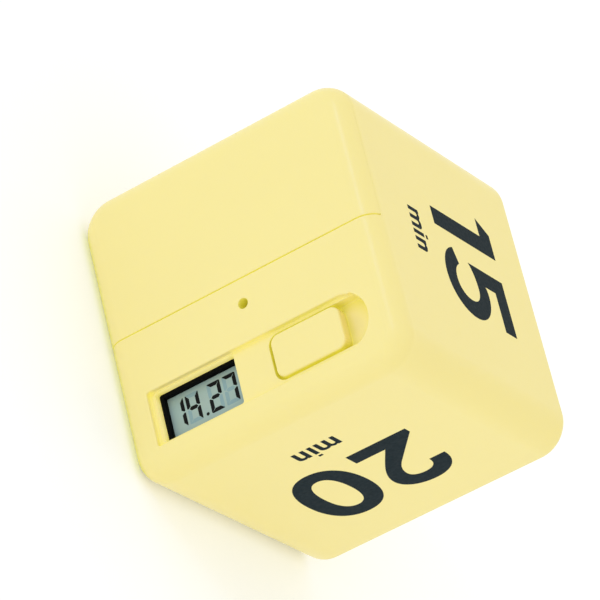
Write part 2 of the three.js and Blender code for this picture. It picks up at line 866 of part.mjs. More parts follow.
// Insulated lead along a smooth route
function lead(route) {
  const points = route.map(([x, rise, behind]) => new THREE.Vector3(x, trayTop + rise, -boardBack - behind));
  const path = new THREE.CatmullRomCurve3(points);
  const section = new THREE.Shape(
    arc(0, 0, wireRadius, 0, 2 * Math.PI * (1 - 1 / wireSides), wireSides - 1));
  return closed(
    new THREE.ExtrudeGeometry(section, { steps: wireSteps, bevelEnabled: false, extrudePath: path }),
  );
}

// Materials
const paint = (color, roughness, metalness = 0) =>
  new THREE.MeshStandardMaterial({ color, roughness, metalness });
const yellow = paint(0xf4e8a4, 0.55);
const white = paint(0xe9e9e4, 0.6);
const black = paint(0x15171a, 0.7);
const glass = paint(0x84928f, 0.35);
const rubber = paint(0xb8bcc0, 0.8);
const green = paint(0x1f6a3c, 0.45);
const steel = paint(0xb9bcc0, 0.35, 0.9);
const nickel = paint(0xd2cfc6, 0.3, 0.9);
const cellSleeve = paint(0x2d3236, 0.4, 0.2);
const redWire = paint(0xb3231f, 0.5);
const blackWire = paint(0x1b1b1d, 0.5);

// Turns a solid from the front view it is drawn in to the part's frame
const standUp = new THREE.Matrix4().set(1, 0, 0, 0, 0, 0, -1, -half, 0, 1, 0, 0, 0, 0, 0, 1);

function named(name, solid, material) {
  const { vertProperties, triVerts } = solid.getMesh();
  const geometry = new THREE.BufferGeometry();
  geometry.setAttribute('position', new THREE.BufferAttribute(new Float32Array(vertProperties), 3));
  geometry.setIndex(new THREE.BufferAttribute(new Uint32Array(triVerts), 1));
  geometry.applyMatrix4(standUp);
  geometry.computeVertexNormals();
  const mesh = new THREE.Mesh(geometry, material);
  mesh.name = name;
  return mesh;
}

const bridgeSpring = coneSpring(nearCellX, bayBottom + plateThickness + 2 * seatGap, 1);
const negativeSpring = coneSpring(farCellX, bayTop - plateThickness - 2 * seatGap, -1);
const leastGap = Math.min(bridgeSpring.least, negativeSpring.least);
console.log('least gap between the turns of the battery springs, mm:', leastGap.toFixed(2));

// Lead routes: x, rise above the battery tray, and distance behind the circuit board
const lugMiddle = cellDepth + lugWidth / 2 + lugThickness + wireRadius + fitGap - boardBack;
const leadSeat = wireRadius + 2 * fitGap;
const redRoute = [
  [nearCellX, 1.05, lugMiddle],
  [-4, 1.9, 1.1],
  [0, 2.2, 2.1],
  [5, 2.2, 2.4],
  [8.6, 1.7, 1.9],
  [9.6, 0.6, leadSeat],
];
const blackRoute = [
  [farCellX, 1.05, lugMiddle],
  [-15.2, 2.4, 1.7],
  [-9, 3.2, 3.9],
  [0, 3.2, 4.9],
  [8, 3, 4.5],
  [13, 2, 2.7],
  [14.2, 0.6, leadSeat],
];

const timer = new THREE.Group();
timer.add(
  named('main_shell', mainShell(), yellow),
  named('front_panel', frontPanel(), yellow),
  named('battery_cover', batteryCover(), yellow),
  named('switch_knob', switchKnob(), yellow),
  named('switch_lever', switchLever(), black),
  named('switch_can', switchCan(), steel),
  named('switch_base', switchBase(), black),
  named('lcd_gasket', lcdGasket(), black),
  named('lcd_panel', lcdPanel(), glass),
  named('lcd_frame', lcdFrame(), white),
  named('zebra_strip', zebraStrip(), rubber),
  named('main_pcb', mainBoard(), green),
  named('chip_blob', chipBlob(recessX, boardTop - 2 * blobRadius), black),
  named('crystal', crystal(boardRight - 3 * crystalRadius, boardTop - 3 * blobRadius), steel),
  named('capacitor', rod(capacitorRadius, boardLeft + 2 * capacitorRadius, half, boardSeat,
    boardSeat + capacitorHeight), black),
  named('buzzer', buzzer(), black),
  named('tilt_sensor_case', tiltSensorCase(), black),
  named('tilt_sensor_cap', tiltSensorCap(), black),
  named('tilt_ball', tiltBall(), steel),
);
for (let i = 0; i < 3; i += 1) {
  const x = boardRight - (i + 1) * resistorPitch;
  timer.add(named(`resistor_${i + 1}`, resistor(x, resistorY), black));
}
boardScrewPlaces.forEach(([x, y], i) => {
  const length = boardThickness + bossHoleDepth - screwRadius;
  timer.add(named(`pcb_screw_${i + 1}`, screw(x, y, boardBack + seatGap, -1, length), steel));
});
caseScrewPlaces.forEach((y, i) => {
  timer.add(named(`case_screw_${i + 1}`, screw(caseScrewX, y, lidDepth - seatGap, 1, screwLength), steel));
});
timer.add(
  named('battery_cell_1', cell(nearCellX, nearCellBottom, 1), cellSleeve),
  named('battery_cell_2', cell(farCellX, farCellBottom, -1), cellSleeve),
  named('bridge_plate', bridgePlate(), nickel),
  named('bridge_spring', bridgeSpring.solid, nickel),
  named('positive_plate', endPlate(nearCellX), nickel),
  named('negative_plate', endPlate(farCellX), nickel),
  named('negative_spring', negativeSpring.solid, nickel),
  named('battery_wire_red', lead(redRoute), redWire),
  named('battery_wire_black', lead(blackRoute), blackWire),
);

export default timer;
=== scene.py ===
import math
from contextlib import contextmanager

import bmesh
import bpy
from bpy.props import FloatProperty, FloatVectorProperty, PointerProperty
from bpy.types import Operator, Panel, PropertyGroup
from mathutils import Matrix, Quaternion, Vector
from mathutils.geometry import tessellate_polygon


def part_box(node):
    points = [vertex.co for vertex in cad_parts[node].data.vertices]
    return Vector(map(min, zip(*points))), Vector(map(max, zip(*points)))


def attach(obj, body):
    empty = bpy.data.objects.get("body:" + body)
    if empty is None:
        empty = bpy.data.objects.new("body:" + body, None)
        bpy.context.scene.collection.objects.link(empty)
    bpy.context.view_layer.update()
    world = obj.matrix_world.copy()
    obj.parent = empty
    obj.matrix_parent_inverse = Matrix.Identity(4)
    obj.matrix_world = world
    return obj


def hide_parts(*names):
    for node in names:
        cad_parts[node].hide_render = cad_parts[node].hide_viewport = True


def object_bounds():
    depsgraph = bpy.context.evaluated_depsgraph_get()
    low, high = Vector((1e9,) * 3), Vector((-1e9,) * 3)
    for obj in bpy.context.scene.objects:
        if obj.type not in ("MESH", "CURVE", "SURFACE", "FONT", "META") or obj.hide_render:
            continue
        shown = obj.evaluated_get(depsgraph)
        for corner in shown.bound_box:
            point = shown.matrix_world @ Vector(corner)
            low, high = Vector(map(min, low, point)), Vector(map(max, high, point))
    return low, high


bl_info = {
    "name": "Flip Timer",
    "version": (1, 0, 0),
    "blender": (4, 5, 0),
    "location": "3D View > Sidebar > Timer",
    "description": "Dresses a cube-shaped flip timer around its packed frame",
    "category": "Object",
}

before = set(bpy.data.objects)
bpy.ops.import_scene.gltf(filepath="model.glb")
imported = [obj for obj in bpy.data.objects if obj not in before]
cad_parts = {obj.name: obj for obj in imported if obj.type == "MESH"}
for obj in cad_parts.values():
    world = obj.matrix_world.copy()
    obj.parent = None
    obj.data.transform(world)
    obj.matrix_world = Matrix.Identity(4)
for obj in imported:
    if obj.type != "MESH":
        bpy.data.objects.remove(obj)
cad_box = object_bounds()

MM = 0.001
SIZE = cad_box[1].z - cad_box[0].z
HALF = SIZE / 2
FRONT = cad_box[0].y
RIGHT = Vector((1, 0, 0))
BACK = Vector((0, 1, 0))
UP = Vector((0, 0, 1))
BITE = 0.2 * MM  # how far a solid reaches into the one that it is joined to
PAST = 1.0 * MM  # how far a cutter reaches past what it cuts
CLOSE = 1e-4 * MM  # points that are closer than this are one
SHARP = math.radians(40)  # edges sharper than this can be rounded
CREASE = math.radians(38)  # edges sharper than this are shaded as edges
BOARD_SCREWS = ("pcb_screw_1", "pcb_screw_2", "pcb_screw_3")
CASE_SCREWS = ("case_screw_1", "case_screw_2")


# Settings


def length(name, millimetres, description):
    """A length that is typed in millimetres and kept in metres."""
    return FloatProperty(
        name=name, description=description, default=millimetres * MM, unit="LENGTH", subtype="DISTANCE"
    )


def factor(name, value, description):
    """A plain number, such as a share or a strength."""
    return FloatProperty(name=name, description=description, default=value, min=0.0)


def spot(name, place, description):
    """A place in the frame."""
    return FloatVectorProperty(
        name=name, description=description, default=place, subtype="TRANSLATION", precision=5
    )


def linear(level):
    """Linear light of one display level from 0 to 255."""
    level = level / 255
    return level / 12.92 if level <= 0.04045 else ((level + 0.055) / 1.055) ** 2.4


def colour(name, red, green, blue, description):
    """A colour that is typed as display levels and kept as linear light."""
    return light_colour(name, (linear(red), linear(green), linear(blue)), description)


def light_colour(name, rgb, description):
    """A colour that is typed and kept as linear light."""
    return FloatVectorProperty(
        name=name, description=description, default=rgb, size=3, subtype="COLOR", min=0.0, max=1.0
    )


class CaseSettings(PropertyGroup):
    """Sizes and colours of the case, its cover and its printing."""

    corner_radius: length("Corner radius", 7.4, "Radius of the edges from front to back")
    front_radius: length("Front radius", 4.2, "Radius of the edges round the display face")
    back_radius: length("Back radius", 2.5, "Radius of the edges round the back face")
    wall: length("Wall", 2.2, "Thickness of the five-sided casing")
    inner_fillet: length("Inner fillet", 1.2, "Fillet between its walls and its back, inside")
    panel_skin: length("Panel skin", 2.4, "Thickness of the display half's outer skin")
    cover_skin: length("Cover skin", 1.5, "Thickness of the battery cover's outer skin")
    lid_depth: length("Lid depth", 3.2, "How far back the front face reaches round the edges")
    register: length("Register", 1.4, "Height of the flange that drops into the casing")
    register_width: length("Register width", 2.0, "Width of that flange")
    parting: length("Parting gap", 0.15, "Gap between the display half and the cover")
    edge: length("Edge softness", 0.12, "Rounding of the moulded edges")
    parting_edge: length("Parting edge", 0.25, "Rounding along the parting gap")
    fit: length("Fit gap", 0.1, "Gap beside a piece that fits into another")
    seat: length("Seat gap", 0.05, "Gap under a piece that rests on another")
    film: length("Ink film", 0.02, "Thickness of the printing")
    # Painted shade and painted glow: the next settings paint a deeper yellow into the plastic's folds and
    # gaps, and an emitted glow into its hollows, its narrow gaps and the window's walls, standing in for
    # shade and bounced light.
    fold_reach: length("Fold reach", 2.6, "How far a wall deepens the yellow beside it")
    hollow_reach: length("Hollow reach", 4.5, "How wide a hollow may be and still glow")
    gap_reach: length("Gap reach", 1.0, "How wide a gap may be and still glow")
    glow: factor("Glow", 0.4, "How brightly hollows glow")
    gap_glow: factor("Gap glow", 0.8, "How brightly narrow gaps glow")
    window_glow: factor("Window glow", 0.38, "How brightly the window's walls glow")
    plastic: colour("Plastic", 245, 230, 153, "Pale yellow of the case")
    plastic_deep: colour("Deep plastic", 232, 226, 84, "Yellow of the case in its folds and gaps")
    plastic_glow: colour("Glowing plastic", 124, 118, 20, "Colour of the light deep in the hollows")
    ink: colour("Ink", 13, 31, 39, "Dark slate of the printed numerals")


class RecessSettings(PropertyGroup):
    """Sizes of the long recess that holds the display window and the switch."""

    end_margin: length("End margin", 6.9, "From the upper and lower faces to the recess")
    edge_margin: length("Side margin", 6.9, "From the side face to the recess")
    width: length("Width", 12.25, "Width of the recess")
    depth: length("Depth", 1.2, "Depth of the recess")
    floor: length("Floor", 1.8, "Thickness of the recess floor")
    lip: length("Lip", 0.28, "Rounding of the recess lip")
    window_rim: length("Window rim", 1.15, "How far the gasket reaches past the window's edge")
    slot_gap: length("Slot gap", 0.35, "Gap beside the switch knob")
    slot_lead: length("Slot lead", 0.7, "Gap below the knob")
    slot_depth: length("Slot depth", 3.6, "Depth of the knob's pocket")
    slot_floor: length("Slot floor", 1.4, "Thickness of the pocket's floor")
    slot_wall: length("Slot wall", 1.35, "Thickness of the pocket's wall")
    hole_radius: length("Sound hole radius", 1.15, "Radius of the sound hole")
    hole_x: length("Sound hole place", 5.5, "From the cube's middle to the sound hole")
    knob_radius: length("Knob corner radius", 2.0, "Radius of the knob's corners")
    knob_soft: length("Knob softness", 0.45, "Rounding of the knob's upper edge")
    stem_width: length("Stem width", 1.9, "Half the width of the knob's stem")
    stem_height: length("Stem height", 2.0, "Half the height of the knob's stem")
    stem_gap: length("Stem gap", 0.175, "Gap round the stem in the pocket's floor")
    travel: length("Travel", 4.0, "How far the knob slides")


class BaySettings(PropertyGroup):
    """Sizes of the battery tray, the rails and tongue, the hooks and the screw posts."""

    tray_wall: length("Tray wall", 1.3, "Thickness of the battery tray's walls")
    tray_back: length("Tray back", 1.6, "Thickness of the battery tray's back")
    rail: length("Rail", 0.7, "Thickness of the rails and of the tongue")
    rail_share: factor("Rail share", 0.42, "Rails' share of the room beside the tray")
    rail_end: length("Rail end", 2.0, "From the bay's inner side to the end of the rails")
    tongue: length("Tongue", 13.0, "Half the width of the cover's tongue")
    tongue_gap: length("Tongue gap", 0.35, "Gap at each side of the tongue")
    post: length("Post", 2.6, "Radius of the posts for the case screws")
    post_hole: length("Post hole", 7.0, "Depth of the hole in a post")
    rib: length("Rib", 0.6, "Half the thickness of a post's rib")
    boss: length("Boss", 2.0, "Radius of the bosses for the board screws")
    boss_hole: length("Boss hole", 6.0, "Depth of the hole in a boss")
    screw_hole: length("Screw hole", 1.05, "Radius of a hole for a screw")
    hook_place: length("Hook place", 17.0, "From the cube's middle to each hook")
    hook: length("Hook", 3.5, "Half the width of a hook")
    hook_length: length("Hook length", 3.3, "How far a hook reaches behind the flange")
    hook_thickness: length("Hook thickness", 1.3, "Thickness of a hook")
    hook_nose: length("Hook nose", 0.7, "How far a hook's nose stands out")
    groove: length("Groove", 0.8, "Depth of the groove that a nose snaps into")
    sign: length("Sign", 0.8, "Half the length of a sign's stroke")
    sign_stroke: length("Sign stroke", 0.17, "Half the width of that stroke")
    sign_depth: length("Sign depth", 0.3, "How deep the signs are sunk")


class DisplaySettings(PropertyGroup):
    """Sizes and colours of the display."""

    sheet: length("Front sheet", 0.25, "Thickness of the sheet in front of the display")
    mark: length("Mark", 0.01, "Thickness of a segment")
    border: length("Border", 0.4, "How far the front sheet stays inside the glass")
    gasket_rim: length("Gasket rim", 2.0, "Width of the gasket's sides")
    ledge: length("Ledge", 1.6, "How far the holder's ledge reaches behind the glass")
    ledge_thickness: length("Ledge thickness", 1.1, "Thickness of that ledge")
    connector_room: length("Connector room", 2.2, "Width of the holder's slot for the connector")
    digit_height: length("Digit height", 6.5, "Height of a digit")
    digit_width: length("Digit width", 3.2, "Width of a digit")
    stroke: length("Segment width", 0.86, "Width of one segment")
    segment_gap: length("Segment gap", 0.1, "Gap between two segments")
    chamfer: length("Chamfer", 0.12, "How much is cut off a segment's corners")
    dot: length("Dot", 0.38, "Radius of the dot between the numbers")
    top_x: length("Digit tops", 16.0, "From the cube's middle to the digits' tops")
    field: colour("Field", 154, 184, 184, "Grey-green of the empty display")
    field_warm: colour("Warm field", 165, 184, 176, "Warmer grey of its patches")
    segment: colour("Segment", 7, 9, 11, "A segment that is on")
    ghost: colour("Ghost", 136, 167, 174, "A segment that is off")


class PartSettings(PropertyGroup):
    """Sizes of the parts inside."""

    stick: length("Switch stick", 0.95, "Half the width of the switch's stick")
    switch_sheet: length("Switch sheet", 0.4, "Thickness of the switch's steel cover")
    mask: length("Solder mask", 0.03, "Thickness of the solder mask")
    pad: length("Pad", 1.95, "Radius of the pads round the board screws")
    track: length("Track", 0.28, "Width of the tracks from the chip")
    track_start: length("Track start", 4.6, "From the chip's middle to its tracks")
    track_bend: length("Track bend", 6.3, "From the chip's middle to their bend")
    lane: length("Lane", 0.35, "Width of the long tracks on the front of the board")
    joint: length("Solder joint", 0.55, "Radius of a small solder joint")
    cage: length("Ball cage", 3.253, "From the cage's middle to its corners")
    cage_depth: length("Cage depth", 3.3, "Depth of that cage")
    screw_root: length("Screw root", 0.68, "Radius of a screw inside its thread")
    screw_crest: length("Screw crest", 0.95, "Radius of a screw over its thread")
    screw_pitch: length("Screw pitch", 0.85, "From one turn of the thread to the next")
    cell_nub: length("Cell nub", 1.0, "How far a cell's positive end stands out")
    contact_sheet: length("Contact sheet", 0.4, "Thickness of the contact plates")
    contact_soft: length("Contact softness", 0.08, "Rounding of their edges")
    contact_corner: length("Contact corner", 1.0, "Radius of their corners")
    lug: length("Lug", 0.5, "Thickness of the lugs for the leads")
    lug_width: length("Lug width", 1.0, "Half the width of the lugs")
    lug_place: length("Lug place", 1.0, "From the cells' middle back to the lugs")
    spring_wire: length("Spring wire", 0.25, "Radius of the springs' wire")
    spring_wide: length("Spring foot", 3.6, "Radius of a spring at its contact plate")
    spring_narrow: length("Spring tip", 2.2, "Radius of a spring at its cell")
    spring_turns: factor("Spring turns", 3.0, "Turns of a spring")
    lead: length("Lead", 0.55, "Radius of a battery lead")


class StageSettings(PropertyGroup):
    """Camera, lights and floor."""

    lens: FloatProperty(name="Lens", description="Focal length in millimetres", default=258.09)
    roll: FloatProperty(
        name="Roll", description="How far the camera leans over", default=math.radians(62.814),
        unit="ROTATION",
    )
    eye: spot("Eye", (0.40889, -0.70704, 0.37746), "Where the camera stands")
    aim: spot("Aim", (-0.00603, -0.00435, 0.0314), "What the camera looks at")
    daylight: factor("Daylight", 0.985, "Strength of the even light all round")
    key: factor("Key light", 1.0, "Power of the soft light from the front in watts")
    sky: light_colour("Sky", (1.0, 0.985, 0.91), "Colour of the even light")
    key_colour: light_colour("Key colour", (0.2, 0.38, 1.0), "Colour of the soft light")
    key_size: length("Key size", 180.0, "Width of the soft light")
    key_place: spot("Key place", (-0.48, -0.78, 0.33), "Where the soft light hangs")
    lift: factor("Floor lift", 0.17, "How much light shines up through the floor")
    lift_colour: light_colour("Lift colour", (0.7, 0.8, 1.0), "Colour of that light")
    floor: colour("Floor", 250, 250, 250, "Colour of the floor")
    floor_drop: length("Floor drop", 0.05, "Gap between the floor and the cube")
    floor_reach: length("Floor reach", 6000.0, "Half the width of the floor")


GROUPS = (
    ("timer_case", CaseSettings),
    ("timer_recess", RecessSettings),
    ("timer_bay", BaySettings),
    ("timer_display", DisplaySettings),
    ("timer_parts", PartSettings),
    ("timer_stage", StageSettings),
)


def settings(*names):
    """The scene's settings with these names."""
    return [getattr(bpy.context.scene, "timer_" + name) for name in names]


# Outlines, drawn as seen from the front: x to the right, y up from the underside


def arc(x, y, radius, start, end, steps):
    """Points along an arc between two angles in degrees."""
    points = []
    for i in range(steps + 1):
        angle = math.radians(start + (end - start) * i / steps)
        points.append((x + radius * math.cos(angle), y + radius * math.sin(angle)))
    return points


def bend(steps, start=0.0, end=math.pi / 2):
    """Steps round an edge: how far in from its side and its end face, as shares of its radius."""
    for i in range(steps + 1):
        angle = start + (end - start) * i / max(steps, 1)
        yield 1 - math.sin(angle), 1 - math.cos(angle)


def rectangle(left, right, bottom, top, radius=0.0, steps=5):
    """A rectangle with round or square corners, anticlockwise."""
    if radius <= 0:
        return [(left, bottom), (right, bottom), (right, top), (left, top)]
    return [
        *arc(right - radius, bottom + radius, radius, -90, 0, steps),
        *arc(right - radius, top - radius, radius, 0, 90, steps),
        *arc(left + radius, top - radius, radius, 90, 180, steps),
        *arc(left + radius, bottom + radius, radius, 180, 270, steps),
    ]


def metres(pairs):
    """Points in metres from pairs that are typed in millimetres."""
    return [(first * MM, second * MM) for first, second in pairs]


def mitre(before, after, least):
    """How a corner between two directions moves to the right, for an offset of one."""
    before, after = before.normalized(), after.normalized()
    normal = Vector((before.y + after.y, -before.x - after.x)).normalized()
    return normal / max(least, normal.dot(Vector((before.y, -before.x))))


def offset(outline, distance):
    """The outline moved outwards by a distance, with its corners kept as they are."""
    if not distance:
        return list(outline)
    moved = []
    count = len(outline)
    for i, point in enumerate(outline):
        here = Vector(point)
        before = here - Vector(outline[i - 1])
        after = Vector(outline[(i + 1) % count]) - here
        moved.append(tuple(here + mitre(before, after, 0.3) * distance))
    return moved


def cube_outline(case, inset, steps=24):
    """Outline of the cube seen from the front, drawn in by an inset."""
    inset = inset + case.film
    radius = case.corner_radius - inset
    return rectangle(-HALF + inset, HALF - inset, inset, SIZE - inset, radius, steps)


# Solids


def place(x, y, depth):
    """The point of the frame at x and y seen from the front, and a depth behind the front face."""
    return Vector((x, FRONT + depth, y))


def from_above(x, depth, y):
    """The point for an outline that is drawn in x and depth and stands upright."""
    return place(x, y, depth)


@contextmanager
def editing(mesh):
    """Lends a mesh for editing and then puts it back."""
    work = bmesh.new()
    work.from_mesh(mesh)
    yield work
    work.to_mesh(mesh)
    work.free()


def solid(points, faces):
    """A mesh object whose faces all point outwards."""
    mesh = bpy.data.meshes.new("solid")
    mesh.from_pydata(points, [], faces)
    with editing(mesh) as work:
        bmesh.ops.remove_doubles(work, verts=work.verts, dist=CLOSE)
        bmesh.ops.recalc_face_normals(work, faces=work.faces)
    made = bpy.data.objects.new("solid", mesh)
    bpy.context.scene.collection.objects.link(made)
    return made


def skin(rings):
    """Joins rings of equally many points into one closed solid with flat ends."""
    count = len(rings[0])
    points = [point for ring in rings for point in ring]
    faces = []
    for row in range(len(rings) - 1):
        for i in range(count):
            j = (i + 1) % count
            a = row * count
            b = a + count
            faces.append((a + i, b + i, b + j, a + j))
    last = len(points) - count
    faces.append(tuple(range(count)))
    faces.append(tuple(last + i for i in reversed(range(count))))
    return solid(points, faces)


def slab(outline, near, far, near_round=0.0, far_round=0.0, steps=4, lead=0.0, to=place):
    """A slab between two depths. A rim is rounded, or flared outwards where its rounding is negative."""
    rings = []

    def add(distance, depth):
        rings.append([to(x, y, depth) for x, y in offset(outline, distance)])

    if lead:
        add(-near_round, near - lead)
    for side, end in bend(steps if near_round else 0):
        add(-near_round * side, near + abs(near_round) * end)
    for side, end in reversed(list(bend(steps if far_round else 0))):
        add(-far_round * side, far - abs(far_round) * end)
    return skin(rings)


def cutter(outline, near, far, lip, fillet=0.0):
    """A slab that cuts a pocket: it flares out at its mouth and has a fillet round its floor."""
    return slab(outline, near, far, -lip, fillet, 4, 2 * MM)


def block(left, right, bottom, top, near, far, soft=0.0):
    """A block with softened edges."""
    if not soft:
        return slab(rectangle(left, right, bottom, top), near, far)
    return slab(rectangle(left, right, bottom, top, 1.5 * soft, 4), near, far, soft, soft, 3)


def block_at(x, y, wide, tall, near, far, soft=0.0):
    """A block round a middle, from half its width, half its height and its two depths."""
    return block(x - wide, x + wide, y - tall, y + tall, near, far, soft)


def turned(profile, origin, axis=BACK, sides=48, ring=False):
    """A solid of revolution from pairs of radius and distance along the axis, end to end or as a ring."""
    turn = axis.to_track_quat("Z", "Y")
    points = []
    rows = []
    for radius, distance in profile:
        if radius <= 0:
            rows.append([len(points)])
            points.append(origin + axis * distance)
            continue
        row = []
        for i in range(sides):
            angle = 2 * math.pi * i / sides
            row.append(len(points))
            arm = Vector((radius * math.cos(angle), radius * math.sin(angle), distance))
            points.append(origin + turn @ arm)
        rows.append(row)
    faces = []
    for one, two in zip(rows, rows[1:] + rows[:1] if ring else rows[1:]):
        for i in range(sides):
            j = (i + 1) % sides
            if len(one) == 1 and len(two) > 1:
                faces.append((one[0], two[j], two[i]))
            elif len(two) == 1 and len(one) > 1:
                faces.append((one[i], one[j], two[0]))
            elif len(one) > 1:
                faces.append((one[i], one[j], two[j], two[i]))
    for row in (rows[0], rows[-1]):
        if len(row) > 1 and not ring:
            faces.append(tuple(row))
    return solid(points, faces)


def dome(x, y, radius, base, height, sides=24, steps=6, bulge=0.7):
    """A dome that stands towards the back, or towards the front where its height is negative."""
    profile = [(0, base)]
    for i in range(steps):
        angle = math.radians(90 * i / steps)
        profile.append((radius * math.cos(angle) ** bulge, base + height * math.sin(angle)))
    profile.append((0, base + height))
    return turned(profile, place(x, y, 0), BACK, sides)


def curved_bar(origin, axis, front, radius, angles, span, thickness=0.1 * MM, steps=8):
    """A thin bar wrapped round a cylinder between two angles in degrees and two places along its axis."""
    side = front.cross(axis)
    start, stop = span
    corners = ((radius - thickness, start), (radius, start), (radius, stop), (radius - thickness, stop))
    rings = []
    for i in range(steps + 1):
        angle = math.radians(angles[0] + (angles[1] - angles[0]) * i / steps)
        arm = front * math.cos(angle) + side * math.sin(angle)
        rings.append([origin + arm * reach + axis * distance for reach, distance in corners])
    return skin(rings)


def strip(points, width, near, far):
    """A flat track along a line of points."""
    left = []
    right = []
    count = len(points)
    for i, point in enumerate(points):
        here = Vector(point)
        before = here - Vector(points[i - 1]) if i else Vector(points[1]) - here
        after = Vector(points[i + 1]) - here if i + 1 < count else before
        arm = mitre(before, after, 0.5) * width / 2
        right.append(tuple(here + arm))
        left.append(tuple(here - arm))
    return slab(right + left[::-1], near, far)


def rod(radius, x, y, near, far, soft=0.0, sides=48):
    """A round rod that runs straight back, with softened ends."""
    profile = [(0, near), (radius - soft, near), (radius, near + soft), (radius, far - soft)]
    profile += [(radius - soft, far), (0, far)]
    if not soft:
        profile = [(0, near), (radius, near), (radius, far), (0, far)]
    return turned(profile, place(x, y, 0), BACK, sides)


def tube(path, radius, sides=16):
    """A round tube along a list of points, with flat ends."""
    count = len(path)
    along = [(path[min(i + 1, count - 1)] - path[max(i - 1, 0)]).normalized() for i in range(count)]
    side = along[0].orthogonal().normalized()
    rings = []
    for point, direction in zip(path, along):
        side = (side - direction * side.dot(direction)).normalized()
        other = direction.cross(side)
        ring = []
        for k in range(sides):
            angle = 2 * math.pi * k / sides
            ring.append(point + (side * math.cos(angle) + other * math.sin(angle)) * radius)
        rings.append(ring)
    return skin(rings)


def smooth_path(points, steps):
    """A centripetal curve through points, in equally many steps between each two."""
    ends = [points[0] * 2 - points[1], *points, points[-1] * 2 - points[-2]]
    path = []
    for p0, p1, p2, p3 in zip(ends, ends[1:], ends[2:], ends[3:]):
        t1 = math.sqrt((p1 - p0).length)
        t2 = t1 + math.sqrt((p2 - p1).length)
        t3 = t2 + math.sqrt((p3 - p2).length)
        for i in range(steps):
            t = t1 + (t2 - t1) * i / steps
            a1 = p0.lerp(p1, t / t1)
            a2 = p1.lerp(p2, (t - t1) / (t2 - t1))
            a3 = p2.lerp(p3, (t - t2) / (t3 - t2))
            b1 = a1.lerp(a2, t / t2)
            b2 = a2.lerp(a3, (t - t1) / (t3 - t1))
            path.append(b1.lerp(b2, (t - t1) / (t2 - t1)))
    path.append(points[-1].copy())
    return path


def carve(base, add=(), cut=(), keep=()):
    """Crops a solid to what it shares with others, joins others to it and cuts others from it."""
    tools = [*keep, *add, *cut]
    kinds = ["INTERSECT"] * len(keep) + ["UNION"] * len(add) + ["DIFFERENCE"] * len(cut)
    for tool, kind in zip(tools, kinds):
        modifier = base.modifiers.new("carve", "BOOLEAN")
        modifier.operation = kind
        modifier.solver = "MANIFOLD"
        modifier.object = tool
    settle(base)
    for tool in tools:
        bpy.data.objects.remove(tool)
    return base


def settle(made):
    """Turns a solid's modifiers into its mesh."""
    mesh = bpy.data.meshes.new_from_object(made.evaluated_get(bpy.context.evaluated_depsgraph_get()))
    if not mesh.polygons:
        raise RuntimeError("A cut left nothing of " + made.name)
    made.modifiers.clear()
    made.data = mesh


def join(first, *others):
    """Puts several solids that don't touch into one object."""
    with editing(first.data) as work:
        for one in others:
            work.from_mesh(one.data)
    for one in others:
        bpy.data.objects.remove(one)
    return first


def soften(made, width, chosen, steps=3):
    """Rounds the sharp edges of a solid whose middle passes a test."""
    with editing(made.data) as work:
        sharp = []
        for edge in work.edges:
            if len(edge.link_faces) != 2 or edge.calc_face_angle() < SHARP:
                continue
            middle = (edge.verts[0].co + edge.verts[1].co) / 2
            if chosen(middle.x, middle.z, middle.y - FRONT):
                sharp.append(edge)
        bmesh.ops.bevel(
            work, geom=sharp, offset=width, offset_type="OFFSET", segments=steps, profile=0.5,
            affect="EDGES", clamp_overlap=True,
        )


def flat_solid(contours, thickness, matrix):
    """A thin flat piece from an outline and its holes, standing on a face given by a matrix."""
    points = [point for contour in contours for point in contour]
    triangles = tessellate_polygon([[Vector((x, y, 0)) for x, y in contour] for contour in contours])
    count = len(points)
    corners = [matrix @ Vector((x, y, 0)) for x, y in points]
    corners += [matrix @ Vector((x, y, thickness)) for x, y in points]
    faces = []
    for a, b, c in triangles:
        faces.append((a, b, c))
        faces.append((count + c, count + b, count + a))
    start = 0
    for contour in contours:
        for i in range(len(contour)):
            a = start + i
            b = start + (i + 1) % len(contour)
            faces.append((a, b, count + b, count + a))
        start += len(contour)
    return solid(corners, faces)


def dress(made, name, material, slot=None, *stands_for, body="case"):
    """Finishes a piece: its name, shading and material, the nodes it stands for and its body."""
    made.name = name
    made.data.name = name
    with editing(made.data) as work:
        bmesh.ops.remove_doubles(work, verts=work.verts, dist=2 * CLOSE)
        bmesh.ops.dissolve_degenerate(work, edges=work.edges, dist=CLOSE)
    made.data.set_sharp_from_angle(angle=CREASE)
    made.data.materials.clear()
    made.data.materials.append(material)
    even = made.modifiers.new("even_normals", "WEIGHTED_NORMAL")
    even.keep_sharp = True
    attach(made, body)
    if stands_for:
        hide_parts(*stands_for)


class Box:
    """A node's box as seen from the front."""

    def __init__(self, node):
        low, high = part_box(node)
        self.left, self.right = low.x, high.x
        self.bottom, self.top = low.z, high.z
        self.near, self.far = low.y - FRONT, high.y - FRONT

    x = property(lambda self: (self.left + self.right) / 2)
    y = property(lambda self: (self.bottom + self.top) / 2)
    depth = property(lambda self: (self.near + self.far) / 2)
    half = property(lambda self: (self.right - self.left) / 2)

    def edges(self, inset):
        """Its four edges drawn in by an inset."""
        return self.left + inset, self.right - inset, self.bottom + inset, self.top - inset

    def outline(self, inset=0.0, radius=0.0, steps=5):
        """The rectangle of these edges."""
        return rectangle(*self.edges(inset), radius, steps)

    def block(self, near, far, inset=0.0, soft=0.0):
        """A block of these edges between two depths."""
        return block(*self.edges(inset), near, far, soft)

    def whole(self, soft):
        """A block as large as the box, with softened edges."""
        return self.block(self.near, self.far, 0, soft)


# Materials


